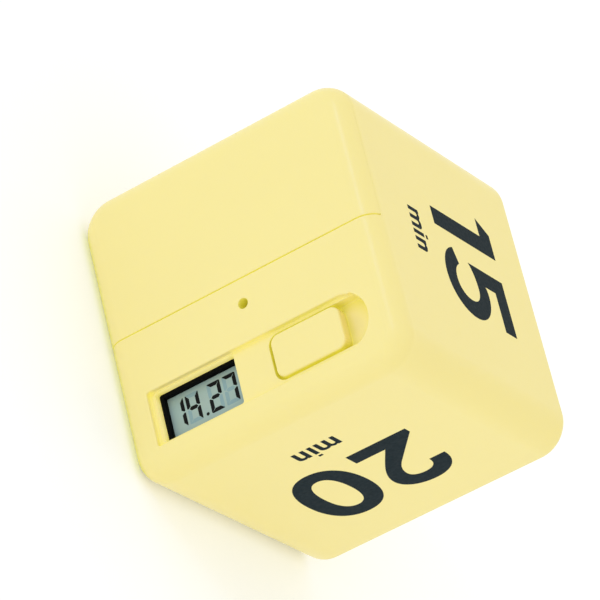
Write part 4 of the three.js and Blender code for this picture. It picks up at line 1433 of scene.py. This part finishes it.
class TIMER_OT_printing(Operator):
    """Print the minutes on the four side faces"""

    bl_idname = "timer.printing"
    bl_label = "Printing"

    def execute(self, context):
        case = context.scene.timer_case
        faces = (
            ("15", RIGHT, UP, (0, FRONT, SIZE), (-15.3, 3.78, 26.85), (-7.2, 16.25)),
            ("20", -UP, RIGHT, (HALF, FRONT, HALF), (-15.1, 2.35, 26.3), (-4.3, 15.6)),
            ("30", UP, -RIGHT, (-HALF, FRONT, HALF), (-15.5, 2.4, 26.5), (-5.0, 15.8)),
            ("60", -RIGHT, -UP, (0, FRONT, 0), (-15.8, 2.4, 26.5), (-5.0, 15.8)),
        )
        depth = 1.5 * case.film
        for digits, right, normal, origin, numeral_place, word_place in faces:
            plane = face_matrix(right, normal, Vector(origin) - normal * depth)
            made = []
            x, gap, y = numeral_place
            for digit in digits:
                contours = [traced(contour) for contour in GLYPHS[digit]]
                at = plane @ Matrix.Translation((x * MM, y * MM, 0))
                made.append(flat_solid(contours, depth, at))
                x += max(px for px, py in contours[0]) / MM + gap
            for step, contours in word_letters():
                at = plane @ Matrix.Translation(((word_place[0] + step) * MM, word_place[1] * MM, 0))
                made.append(flat_solid([metres(contour) for contour in contours], depth, at))
            dress(join(*made), "printed_" + digits, ink())
        return {"FINISHED"}


# Display


def segment_outlines(display):
    """Outlines of the seven segments of a digit round its middle, in the usual order a to g."""
    wide = display.digit_width / 2
    tall = display.digit_height / 2
    stroke = display.stroke
    gap = display.segment_gap
    chamfer = display.chamfer
    inner = wide - stroke - gap
    tip = wide - stroke / 2 - gap
    top = [
        (gap + chamfer - wide, tall), (wide - gap - chamfer, tall), (wide - gap, tall - chamfer),
        (inner, tall - stroke), (-inner, tall - stroke), (gap - wide, tall - chamfer),
    ]
    side = [
        (wide, tall - gap - chamfer), (wide - chamfer, tall - gap), (wide - stroke, tall - stroke - gap),
        (wide - stroke, stroke / 2 + gap), (wide - stroke / 3, gap), (wide, gap + chamfer),
    ]
    middle = [
        (-tip, 0), (-inner, stroke / 2), (inner, stroke / 2),
        (tip, 0), (inner, -stroke / 2), (-inner, -stroke / 2),
    ]

    def flip(outline, x, y):
        return [(px * x, py * y) for px, py in outline]

    return {
        "a": top, "b": side, "c": flip(side, 1, -1), "d": flip(top, 1, -1), "e": flip(side, -1, -1),
        "f": flip(side, -1, 1), "g": middle,
    }


# The digits that are shown, each with its right edge in millimetres from the middle of the cube, and
# their segments. The dot stands between the second digit and the third.

DIGITS = (("1", -20.53), ("4", -16.85), ("2", -11.5), ("7", -7.75))
DIGIT_SEGMENTS = {"1": "bc", "4": "bcfg", "2": "abdeg", "7": "abc"}
DOT_PLACE = -15.68


class TIMER_OT_display(Operator):
    """Build the display glass with its digits, the gasket round it and the frame that holds it"""

    bl_idname = "timer.display"
    bl_label = "Display"

    def execute(self, context):
        case, display = settings("case", "display")
        glass = Box("lcd_panel")
        gasket = Box("lcd_gasket")
        holder = Box("lcd_frame")
        sheet = glass.near + display.sheet
        body = glass.block(sheet, glass.far, 0, 0.1 * MM)
        dress(body, "display_glass", display_field(), "display", "lcd_panel")
        film = glass.block(glass.near + display.mark, sheet, display.border)
        dress(film, "display_film", display_field(), "display")
        self.show_digits(display, glass)

        opening = gasket.block(gasket.near - PAST, gasket.far + PAST, display.gasket_rim)
        rim = carve(gasket.whole(0.15 * MM), cut=[opening])
        dress(rim, "foam_gasket", foam_rubber(), "gasket", "lcd_gasket")

        ledge = glass.far + case.seat
        far = holder.far + PAST
        cuts = [
            glass.block(holder.near - PAST, ledge, -case.fit),
            glass.block(holder.near, far, display.ledge),
            glass.block(ledge + display.ledge_thickness, far),
            block(glass.left, glass.left + display.connector_room, glass.bottom, glass.top, holder.near, far),
        ]
        carrier = carve(holder.whole(0.15 * MM), cut=cuts)
        dress(carrier, "display_holder", white_moulding(), "white_moulding", "lcd_frame")
        return {"FINISHED"}

    def show_digits(self, display, glass):
        """Prints the digits and the dot on the glass, and the faint segments that are off."""
        mark = display.mark
        plane = face_matrix(UP, -BACK, Vector((0, FRONT + glass.near + mark, HALF)))
        y = -display.top_x - display.digit_height / 2
        outlines = segment_outlines(display)
        lit = []
        unlit = []
        for digit, right in DIGITS:
            at = plane @ Matrix.Translation((right * MM - display.digit_width / 2, y, 0))
            for key, outline in outlines.items():
                if key in DIGIT_SEGMENTS[digit]:
                    lit.append(flat_solid([outline], mark, at))
                elif digit != "1":
                    unlit.append(flat_solid([outline], mark / 2, at))
        low = y - display.digit_height / 2 + 0.42 * MM
        at = plane @ Matrix.Translation((DOT_PLACE * MM, low, 0))
        lit.append(flat_solid([arc(0, 0, display.dot, 0, 330, 11)], mark, at))
        dress(join(*lit), "display_digits", display_segment(), "display")
        dress(join(*unlit), "display_ghosts", display_ghost(), "display")


# Parts inside


class TIMER_OT_switch(Operator):
    """Build the slide switch that the knob drives"""

    bl_idname = "timer.switch"
    bl_label = "Slide Switch"

    def execute(self, context):
        case, recess, parts = settings("case", "recess", "parts")
        can = Box("switch_can")
        base = Box("switch_base")
        lever = Box("switch_lever")
        x, y = can.x, can.y
        sheet = parts.switch_sheet
        wide = parts.stick + case.fit
        cuts = [
            can.block(can.far, can.far + 2 * PAST, -PAST),
            can.block(can.near + sheet, can.far + 3 * PAST, sheet),
            block_at(x, y, wide, recess.travel / 2 + wide, can.near - PAST, can.near + PAST),
        ]
        for end in (can.bottom, can.top):
            cuts.append(block_at(x, end, 0.7 * MM, sheet, can.far - 0.6 * MM, can.far + PAST))
        cover = carve(can.block(can.near, can.far + PAST, 0, 0.25 * MM), cut=cuts)
        dress(cover, "switch_cover", tinned_steel(), "pressed_steel", "switch_can")

        groove = block(x - 0.5 * MM, x + 0.5 * MM, base.bottom + 0.6 * MM, base.top - 0.6 * MM,
                       base.near - PAST, base.near + 0.25 * MM)
        body = carve(base.whole(0.1 * MM), cut=[groove])
        dress(body, "switch_body", black_moulding(), "black_moulding", "switch_base")
        contacts = []
        for step in (-3 * MM, 0, 3 * MM):
            contacts.append(block_at(x, y + step, 0.4 * MM, 1.1 * MM, base.near + 0.1 * MM,
                                     base.near + 0.25 * MM))
        dress(join(*contacts), "switch_contacts", contact_nickel(), "contact_nickel")

        stick = block_at(x, lever.y, parts.stick, parts.stick, lever.near, lever.far, 0.15 * MM)
        foot = lever.block(lever.far - 0.8 * MM, lever.far, 0, 0.12 * MM)
        dress(carve(foot, add=[stick]), "switch_stick", black_moulding(), "black_moulding", "switch_lever",
              body="knob")
        return {"FINISHED"}


def chip_tracks(parts, board, chip):
    """Tracks on the back of the board that fan out from the chip and turn down the board."""
    tracks = []
    near = board.far - 2 * parts.mask
    far = board.far - parts.mask / 3
    for i in range(16):
        angle = math.radians(15 + 22 * i)
        arm = (math.cos(angle), math.sin(angle))
        start = (chip.x + parts.track_start * arm[0], chip.y + parts.track_start * arm[1])
        bend = (chip.x + parts.track_bend * arm[0], chip.y + parts.track_bend * arm[1])
        if bend[1] > board.top - 1.2 * MM or bend[0] > board.right - 1.5 * MM:
            continue
        lowest = board.bottom + (12 + 1.1 * i) * MM
        drop = max(min(bend[1], chip.y) - (2 + 0.5 * i) * MM, lowest)
        shift = (bend[0] - chip.x) * 0.9
        end = (chip.x - 3.5 * MM + shift, drop - abs(shift) * 0.4)
        tracks.append(strip([start, bend, (bend[0], drop + 0.5 * MM), end], parts.track, near, far))
    return tracks


def lane_tracks(parts, board):
    """Long tracks down the front of the board."""
    tracks = []
    for i in range(4):
        lane = board.left + (1.2 + 0.8 * i) * MM
        low = board.bottom + (5 + 2 * i) * MM
        high = board.top - (8 + 2 * i) * MM
        path = [(lane + 2.5 * MM, high + 2.5 * MM), (lane, high), (lane, low),
                (lane + 3 * MM, low - 3 * MM), (lane + 9 * MM, low - 3 * MM)]
        tracks.append(strip(path, parts.lane, board.near + parts.mask / 3, board.near + 2 * parts.mask))
    return tracks


def board_joints(parts, board):
    """Solder joints of the sounder, the crystal, the capacitor and the tilt sensor."""
    sounder = Box("buzzer")
    crystal = Box("crystal")
    capacitor = Box("capacitor")
    sensor = Box("tilt_sensor_case")
    back = board.far - parts.mask
    joints = []
    for x, y in (
        (sounder.x, sounder.bottom + 1.1 * MM),
        (sounder.x, sounder.top - 1.1 * MM),
        (crystal.left + 0.35 * MM, crystal.bottom - 0.8 * MM),
        (crystal.right - 0.35 * MM, crystal.bottom - 0.8 * MM),
    ):
        joints.append(dome(x, y, parts.joint, back, 0.4 * MM))
    for y in (capacitor.bottom + 1.4 * MM, capacitor.top - 1.4 * MM):
        if abs(y - HALF) > 4.9 * MM:
            joints.append(dome(capacitor.x, y, parts.joint, board.near + parts.mask, -0.04 * MM))
    for x in (sensor.left + 0.9 * MM, sensor.right - 0.9 * MM):
        for y in (sensor.bottom - 0.7 * MM, sensor.top + 0.7 * MM):
            joints.append(dome(x, y, 0.6 * MM, back, 0.35 * MM))
    return joints


class TIMER_OT_board(Operator):
    """Build the circuit board with its tracks, pads and solder joints"""

    bl_idname = "timer.board"
    bl_label = "Circuit Board"

    def execute(self, context):
        case, bay, parts = settings("case", "bay", "parts")
        hole = bay.screw_hole
        rim = hole + case.seat
        board = Box("main_pcb")
        mask = parts.mask
        plate = slab(board.outline(0, 0.8 * MM), board.near + mask, board.far - mask, 2 * mask, 2 * mask, 2)
        holes = []
        pads = []
        for screw in map(Box, BOARD_SCREWS):
            x, y = screw.x, screw.y
            holes.append(rod(hole, x, y, board.near - PAST, board.far + PAST, 0, 32))
            for near, far in ((board.near, board.near + 2 * mask), (board.far - 2 * mask, board.far)):
                ring = [(rim, near), (parts.pad, near), (parts.pad, far), (rim, far)]
                pads.append(turned(ring, place(x, y, 0), BACK, 32, True))
        dress(carve(plate, cut=holes), "board_plate", solder_mask(), "board", "main_pcb")
        tracks = chip_tracks(parts, board, Box("chip_blob")) + lane_tracks(parts, board)
        dress(join(*tracks), "board_tracks", covered_copper(), "board")
        dress(join(*pads, *board_joints(parts, board)), "board_solder", solder(), "pressed_steel")
        return {"FINISHED"}


def rim_to_rim(radius, start, end, first, last):
    """A profile from shares of a radius, each with its millimetres from the start or from the end."""
    return [(radius * share, start + distance * MM) for share, distance in first] + [
        (radius * share, end - distance * MM) for share, distance in last
    ]


class TIMER_OT_components(Operator):
    """Build the chip, crystal, capacitor, resistors, sounder and display connector"""

    bl_idname = "timer.components"
    bl_label = "Board Components"

    def execute(self, context):
        self.chip()
        self.crystal()
        self.capacitor()
        self.resistors()
        self.sounder()
        connector = Box("zebra_strip").whole(0.1 * MM)
        dress(connector, "display_connector", layered_rubber(), "connector_rubber", "zebra_strip")
        return {"FINISHED"}

    def chip(self):
        """A blob of epoxy over the chip, not quite round."""
        box = Box("chip_blob")
        x, y = box.x, box.y
        blob = dome(x, y, box.half, box.near, box.far - box.near, 64, 12, 0.8)
        for vertex in blob.data.vertices:
            arm = Vector((vertex.co.x - x, vertex.co.z - y))
            if arm.length > 1e-6:
                angle = math.atan2(arm.y, arm.x)
                share = 0.955 + 0.025 * math.sin(3 * angle + 0.6) + 0.02 * math.sin(5 * angle + 2)
                vertex.co.x = x + arm.x * share
                vertex.co.z = y + arm.y * share
        dress(blob, "chip_cover", epoxy(), "epoxy", "chip_blob")

    def crystal(self):
        """A small can with a rim at its foot and a rounded top."""
        box = Box("crystal")
        profile = rim_to_rim(
            box.half, 0, box.top - box.bottom,
            ((0, 0.12), (0.8, 0.12), (0.8, 0), (1, 0), (1, 0.35), (0.92, 0.45)),
            ((0.92, 0.35), (0.8, 0.08), (0.6, 0), (0, 0)),
        )
        can = turned(profile, place(box.x, box.bottom, box.depth), UP, 32)
        dress(can, "crystal_can", tinned_steel(), "pressed_steel", "crystal")

    def capacitor(self):
        """A sleeved can with a groove near its foot, a scored top and a pale stripe."""
        box = Box("capacitor")
        r = box.half
        near, far = box.near, box.far
        x, y = box.x, box.y
        profile = rim_to_rim(
            r, near, far,
            ((0, 0.1), (0.75, 0.1), (0.85, 0), (0.96, 0.05), (1, 0.25), (1, 0.8), (0.92, 1.05), (0.92, 1.2),
             (1, 1.45)),
            ((1, 0.35), (0.94, 0.1), (0.84, 0), (0.8, 0.1), (0, 0.1)),
        )
        sleeve = turned(profile, place(x, y, 0))
        dress(sleeve, "capacitor_sleeve", black_moulding(), "black_moulding", "capacitor")
        top = rod(0.78 * r, x, y, far - 0.1 * MM, far - 0.02 * MM)
        long, score = 0.6 * r, 0.06 * MM
        scores = [
            block_at(x, y, wide, tall, far - score, far) for wide, tall in ((long, score), (score, long))
        ]
        dress(carve(top, cut=scores), "capacitor_top", tinned_steel(), "pressed_steel")
        stripe = curved_bar(place(x, y, 0), BACK, RIGHT, r + 0.01 * MM, (-16, 16),
                            (near + 1.6 * MM, far - 0.6 * MM))
        dress(stripe, "capacitor_stripe", pale_print())

    def resistors(self):
        """Three small blocks with a solder cap at each end."""
        bodies = []
        ends = []
        cap = 0.32 * MM
        thin = 0.02 * MM
        names = ("resistor_1", "resistor_2", "resistor_3")
        for box in map(Box, names):
            bodies.append(block(box.left + thin, box.right - thin, box.bottom + cap, box.top - cap,
                                box.near + thin, box.far - thin))
            for low, high in ((box.bottom, box.bottom + cap), (box.top - cap, box.top)):
                ends.append(block(box.left, box.right, low, high, box.near, box.far, 0.05 * MM))
        dress(join(*bodies), "resistor_bodies", epoxy(), "black_moulding", *names)
        dress(join(*ends), "resistor_ends", solder(), "pressed_steel")

    def sounder(self):
        """A round can with a raised mouth in the middle of its front."""
        box = Box("buzzer")
        r, far = box.half, box.far
        mouth = metres([(0, 1.5), (1.1, 1.5), (1.1, 0.12), (1.22, 0), (1.9, 0), (2.0, 0.15)])
        rim = metres([(0.55, 0.15), (0.2, 0.28), (0.02, 0.7), (0, 0.9)])
        profile = [(radius, box.near + depth) for radius, depth in mouth]
        profile += [(r - inward, box.near + depth) for inward, depth in rim]
        profile += [(r, far - 0.8 * MM), (r - 0.12 * MM, far - 0.7 * MM), (r - 0.12 * MM, far), (0, far)]
        can = turned(profile, place(box.x, box.y, 0), BACK, 64)
        dress(can, "sounder", black_moulding(), "black_moulding", "buzzer")


class TIMER_OT_tilt_sensor(Operator):
    """Build the ball sensor that tells which face is up"""

    bl_idname = "timer.tilt_sensor"
    bl_label = "Tilt Sensor"

    def execute(self, context):
        parts = context.scene.timer_parts
        box = Box("tilt_sensor_case")
        cap = Box("tilt_sensor_cap")
        ball = Box("tilt_ball")
        x, y = box.x, box.y
        reach = parts.cage
        diamond = [(x, y - reach), (x + reach, y), (x, y + reach), (x - reach, y)]
        cage = slab(diamond, box.far - parts.cage_depth, box.far, 0, -0.1 * MM, 3)
        body = carve(box.whole(0.2 * MM), cut=[cage])
        dress(body, "sensor_case", black_moulding(), "black_moulding", "tilt_sensor_case")
        corner = 1.3 * MM
        mark = rod(0.55 * MM, cap.left + corner, cap.top - corner, cap.far - 0.15 * MM, cap.far + PAST, 0, 24)
        lid = carve(cap.whole(0.15 * MM), cut=[mark])
        dress(lid, "sensor_lid", black_moulding(), "black_moulding", "tilt_sensor_cap")
        radius = ball.half
        steps = 24
        profile = [(0, -radius)]
        for i in range(1, steps):
            angle = math.pi * i / steps
            profile.append((radius * math.sin(angle), -radius * math.cos(angle)))
        profile.append((0, radius))
        bead = turned(profile, place(x, ball.y, ball.depth), UP)
        dress(bead, "sensor_ball", tinned_steel(), "pressed_steel", "tilt_ball", body="ball")
        return {"FINISHED"}


def threaded_screw(parts, box, direction):
    """A cross-headed screw with its thread. Its direction is 1 where it goes in towards the back."""
    x, y = box.x, box.y
    start = box.near if direction > 0 else box.far
    total = box.far - box.near
    head = box.half
    root = parts.screw_root
    crest = parts.screw_crest
    pitch = parts.screw_pitch
    sides = 32
    rows = [(0.6 * head, 0), (0.8 * head, 0.06 * MM), (0.94 * head, 0.26 * MM), (head, 0.6 * MM),
            (head, 1.18 * MM), (0.96 * head, 1.3 * MM), (crest, 1.3 * MM), (root, 1.45 * MM)]
    rings = [[row] * sides for row in rows]
    distance = 1.5 * MM
    while distance < total - 1.0 * MM:
        ring = []
        for i in range(sides):
            turn = (distance / pitch - i / sides) % 1
            rise = max(0.0, 1 - abs(2 * turn - 1) * 1.6)
            ring.append((root + (crest - root) * rise, distance))
        rings.append(ring)
        distance += pitch / 12
    rings.append([(root * 0.9, total - 0.8 * MM)] * sides)
    rings.append([(root * 0.3, total)] * sides)
    points = []
    for ring in rings:
        row = []
        for i, (radius, distance) in enumerate(ring):
            angle = 2 * math.pi * i / sides
            row.append(place(x + radius * math.cos(angle), y + radius * math.sin(angle),
                             start + direction * distance))
        points.append(row)
    cross = []
    for wide, tall in ((1.1 * MM, 0.25 * MM), (0.25 * MM, 1.1 * MM)):
        outline = rectangle(x - wide, x + wide, y - tall, y + tall)
        cross.append(
            skin([[place(px, py, start + direction * depth) for px, py in offset(outline, grow)]
                  for depth, grow in ((-0.3 * MM, 0.03 * MM), (0.6 * MM, -0.09 * MM))])
        )
    return carve(skin(points), cut=cross)


class TIMER_OT_screws(Operator):
    """Build the screws that hold the board and the case"""

    bl_idname = "timer.screws"
    bl_label = "Screws"

    def execute(self, context):
        parts = context.scene.timer_parts
        for name in BOARD_SCREWS + CASE_SCREWS:
            screw = threaded_screw(parts, Box(name), 1 if name in CASE_SCREWS else -1)
            dress(screw, name.replace("pcb", "board") + "_threaded", screw_steel(), "screw_steel", name)
        return {"FINISHED"}


class TIMER_OT_cells(Operator):
    """Build the two battery cells"""

    bl_idname = "timer.cells"
    bl_label = "Battery Cells"

    def execute(self, context):
        parts = context.scene.timer_parts
        self.cell("battery_cell_1", UP, parts.cell_nub)
        self.cell("battery_cell_2", -UP, parts.cell_nub)
        return {"FINISHED"}

    def cell(self, name, axis, nub):
        """One cell, from its negative end along its axis: sleeve, steel ends, band and printed signs."""
        box = Box(name)
        r = box.half
        body = box.top - box.bottom - nub
        origin = place(box.x, box.bottom if axis.z > 0 else box.top, box.depth)
        rim = metres([(0.75, 0.35), (0.75, 0.1), (0.6, 0), (0.42, 0.02), (0.14, 0.2), (0.04, 0.55)])
        profile = [(0, 0.35 * MM)] + [(r - inward, distance) for inward, distance in rim]
        profile += [(r - inward, body - distance) for inward, distance in reversed(rim)]
        profile.append((0, body - 0.35 * MM))
        dress(turned(profile, origin, axis, 96), name + "_sleeve", cell_sleeve(), "cell_jacket", name)

        plate = metres([(0, 0.06), (2.4, 0.06), (2.6, 0.13), (4.1, 0.13), (4.4, 0.22), (4.4, 0.34),
                        (0, 0.34)])
        cap = metres([(0, 1.34), (1.62, 1.34), (1.84, 1.24), (1.9, 1.05), (1.9, 0.45), (2.15, 0.28),
                      (3.7, 0.22), (3.75, 0), (0, 0)])
        foot = origin + axis * (body - 0.34 * MM)
        ends = join(turned(plate, origin, axis, 64), turned(cap, foot, axis, 64))
        dress(ends, name + "_ends", contact_nickel(), "contact_nickel")

        low, high = body - 10 * MM, body - 0.9 * MM
        under, over = r - 0.3 * MM, r - 0.02 * MM
        band = turned([(under, low), (over, low), (over, high), (under, high)], origin, axis, 96, True)
        dress(band, name + "_band", cell_band(), "cell_jacket")

        plus = body - 3.2 * MM
        half = 0.14 * MM
        bars = [((-8.5, 8.5), (middle - half, middle + half)) for middle in (plus, 3.2 * MM)]
        bars.append(((-1.5, 1.5), (plus - 0.78 * MM, plus - 0.16 * MM)))
        bars.append(((-1.5, 1.5), (plus + 0.16 * MM, plus + 0.78 * MM)))
        marks = [curved_bar(origin, axis, -BACK, r, angles, span) for angles, span in bars]
        dress(join(*marks), name + "_marks", pale_print())


def spring(parts, box, cell, direction, steps=144):
    """A conical spring of one wire, from its foot below or above the cell to its tip."""
    wire = parts.spring_wire
    start = (box.bottom if direction > 0 else box.top) + direction * wire
    run = box.top - box.bottom - 2 * wire
    path = []
    for i in range(steps + 1):
        t = i / steps
        angle = 2 * math.pi * parts.spring_turns * t
        radius = parts.spring_wide + (parts.spring_narrow - parts.spring_wide) * t
        path.append(place(cell.x + radius * math.cos(angle), start + direction * run * t,
                          cell.depth - radius * math.sin(angle)))
    return tube(path, wire, 12)


def contact_plate(parts, box, top):
    """A contact plate that lies across the cube, with round corners."""
    outline = rectangle(box.left, box.right, box.near, box.far, parts.contact_corner, 6)
    soft = parts.contact_soft
    return slab(outline, box.bottom, top, soft, soft, 2, 0, from_above)


def pressed_boss(x, y, depth, height):
    """A shallow round boss that is pressed out of a contact plate, downwards where its height is negative."""
    sign = math.copysign(MM, height)
    profile = [(0, -0.2 * sign), (2.2 * MM, -0.2 * sign), (2.2 * MM, 0),
               (2.05 * MM, height - 0.005 * sign), (0, height)]
    return turned(profile, place(x, y, depth), UP)


class TIMER_OT_contacts(Operator):
    """Build the battery contacts: plates, springs and lugs"""

    bl_idname = "timer.contacts"
    bl_label = "Battery Contacts"

    def execute(self, context):
        parts = context.scene.timer_parts
        cell = Box("battery_cell_2")
        depth = cell.depth
        bridge = Box("bridge_plate")
        boss = pressed_boss(cell.x, bridge.top, depth, 0.045 * MM)
        plate = carve(contact_plate(parts, bridge, bridge.top), add=[boss])
        dress(plate, "contact_bridge", contact_nickel(), "contact_nickel", "bridge_plate")
        lower = spring(parts, Box("bridge_spring"), Box("battery_cell_1"), 1)
        dress(lower, "contact_spring_lower", contact_nickel(), "contact_nickel", "bridge_spring")
        for name, piece in (("positive_plate", "contact_plus"), ("negative_plate", "contact_minus")):
            box = Box(name)
            top = box.bottom + parts.contact_sheet
            near = depth + parts.lug_place
            wide = parts.lug_width
            added = [block(box.x - wide, box.x + wide, top - BITE, box.top, near, near + parts.lug,
                           parts.contact_soft)]
            if piece == "contact_plus":
                added.append(pressed_boss(box.x, box.bottom, depth, -0.075 * MM))
            plate = carve(contact_plate(parts, box, top), add=added)
            dress(plate, piece, contact_nickel(), "contact_nickel", name)
        upper = spring(parts, Box("negative_spring"), cell, -1)
        dress(upper, "contact_spring_upper", contact_nickel(), "contact_nickel", "negative_spring")
        return {"FINISHED"}


# Each lead's way in millimetres: across the cube, up from its lug, and back from the board.

LEADS = {
    "red": ((-5.175, 1.05, -0.75), (-4, 1.9, 1.1), (0, 2.2, 2.1), (5, 2.2, 2.4), (8.6, 1.7, 1.9),
            (9.6, 0.6, 0.75)),
    "black": ((-16.95, 1.05, -0.75), (-15.2, 2.4, 1.7), (-9, 3.2, 3.9), (0, 3.2, 4.9), (8, 3, 4.5),
              (13, 2, 2.7), (14.2, 0.6, 0.75)),
}


class TIMER_OT_leads(Operator):
    """Build the two battery leads with their solder joints"""

    bl_idname = "timer.leads"
    bl_label = "Battery Leads"

    def execute(self, context):
        parts = context.scene.timer_parts
        board = Box("main_pcb")
        top = Box("positive_plate").top - 1.6 * MM
        joints = []
        for (name, route), insulate in zip(LEADS.items(), (red_insulation, black_insulation)):
            points = [place(x * MM, top + rise * MM, board.far + behind * MM) for x, rise, behind in route]
            lead = tube(smooth_path(points, 12), parts.lead, 24)
            dress(lead, "lead_" + name, insulate(), name + "_insulation", "battery_wire_" + name)
            start, end = points[0], points[-1]
            joints.append(dome(start.x, start.z, 0.8 * MM, start.y - FRONT - 0.65 * MM, 0.55 * MM))
            joints.append(dome(end.x, end.z, 1.0 * MM, board.far, 0.75 * MM))
        dress(join(*joints), "lead_solder", solder(), "pressed_steel")
        return {"FINISHED"}


# Stage


class TIMER_OT_stage(Operator):
    """Set up the floor, the soft light and the camera"""

    bl_idname = "timer.stage"
    bl_label = "Stage"

    def execute(self, context):
        stage = context.scene.timer_stage
        scene = context.scene
        scene.view_settings.view_transform = "Standard"

        lens = bpy.data.cameras.new("camera")
        lens.lens = stage.lens
        lens.clip_end = 100
        camera = bpy.data.objects.new("camera", lens)
        scene.collection.objects.link(camera)
        look = Vector(stage.aim) - Vector(stage.eye)
        camera.location = stage.eye
        camera.rotation_mode = "QUATERNION"
        camera.rotation_quaternion = look.to_track_quat("-Z", "Y") @ Quaternion((0, 0, 1), stage.roll)
        scene.camera = camera

        world = bpy.data.worlds.new("studio")
        world.use_nodes = True
        background = world.node_tree.nodes["Background"]
        background.inputs["Color"].default_value = (*stage.sky, 1)
        background.inputs["Strength"].default_value = stage.daylight
        scene.world = world

        key = bpy.data.lights.new("key", "AREA")
        key.energy = stage.key
        key.color = stage.key_colour
        key.size = stage.key_size
        lamp = bpy.data.objects.new("key", key)
        lamp.location = stage.key_place
        lamp.rotation_mode = "QUATERNION"
        lamp.rotation_quaternion = (Vector((0, 0, HALF)) - lamp.location).to_track_quat("-Z", "Y")
        scene.collection.objects.link(lamp)

        reach = stage.floor_reach
        corners = [(-reach, -reach), (reach, -reach), (reach, reach), (-reach, reach)]
        floor = solid([Vector((x, y, -stage.floor_drop)) for x, y in corners], [(0, 1, 2, 3)])
        floor.name = "floor"
        shader = Shader("floor")
        shader.set(
            Base_Color=shader.blend(shader.noise(3), shade(stage.floor, 0.99), stage.floor),
            Roughness=0.9,
            Specular_IOR_Level=0.1,
            Emission_Color=(*stage.lift_colour, 1),
            Emission_Strength=stage.lift,
        )
        floor.data.materials.append(shader.material)
        return {"FINISHED"}


OPERATORS = (
    TIMER_OT_casing,
    TIMER_OT_display_half,
    TIMER_OT_cover,
    TIMER_OT_knob,
    TIMER_OT_printing,
    TIMER_OT_display,
    TIMER_OT_switch,
    TIMER_OT_board,
    TIMER_OT_components,
    TIMER_OT_tilt_sensor,
    TIMER_OT_screws,
    TIMER_OT_cells,
    TIMER_OT_contacts,
    TIMER_OT_leads,
    TIMER_OT_stage,
)


class TIMER_PT_panel(Panel):
    """Lists the settings and the pieces of the timer"""

    bl_idname = "TIMER_PT_panel"
    bl_label = "Flip Timer"
    bl_space_type = "VIEW_3D"
    bl_region_type = "UI"
    bl_category = "Timer"

    def draw(self, context):
        for key, group in GROUPS:
            box = self.layout.box()
            box.label(text=group.__doc__)
            for name in group.__annotations__:
                box.prop(getattr(context.scene, key), name)
        for operator in OPERATORS:
            self.layout.operator(operator.bl_idname)


def register():
    """Registers the settings, the operators and the panel."""
    for key, group in GROUPS:
        bpy.utils.register_class(group)
        setattr(bpy.types.Scene, key, PointerProperty(type=group))
    for made in (*OPERATORS, TIMER_PT_panel):
        bpy.utils.register_class(made)


def unregister():
    """Takes them all away again."""
    for made in (TIMER_PT_panel, *reversed(OPERATORS)):
        bpy.utils.unregister_class(made)
    for key, group in reversed(GROUPS):
        delattr(bpy.types.Scene, key)
        bpy.utils.unregister_class(group)


def main():
    """Builds every piece in turn."""
    register()
    for operator in OPERATORS:
        group, name = operator.bl_idname.split(".")
        getattr(getattr(bpy.ops, group), name)()


if __name__ == "__main__":
    main()
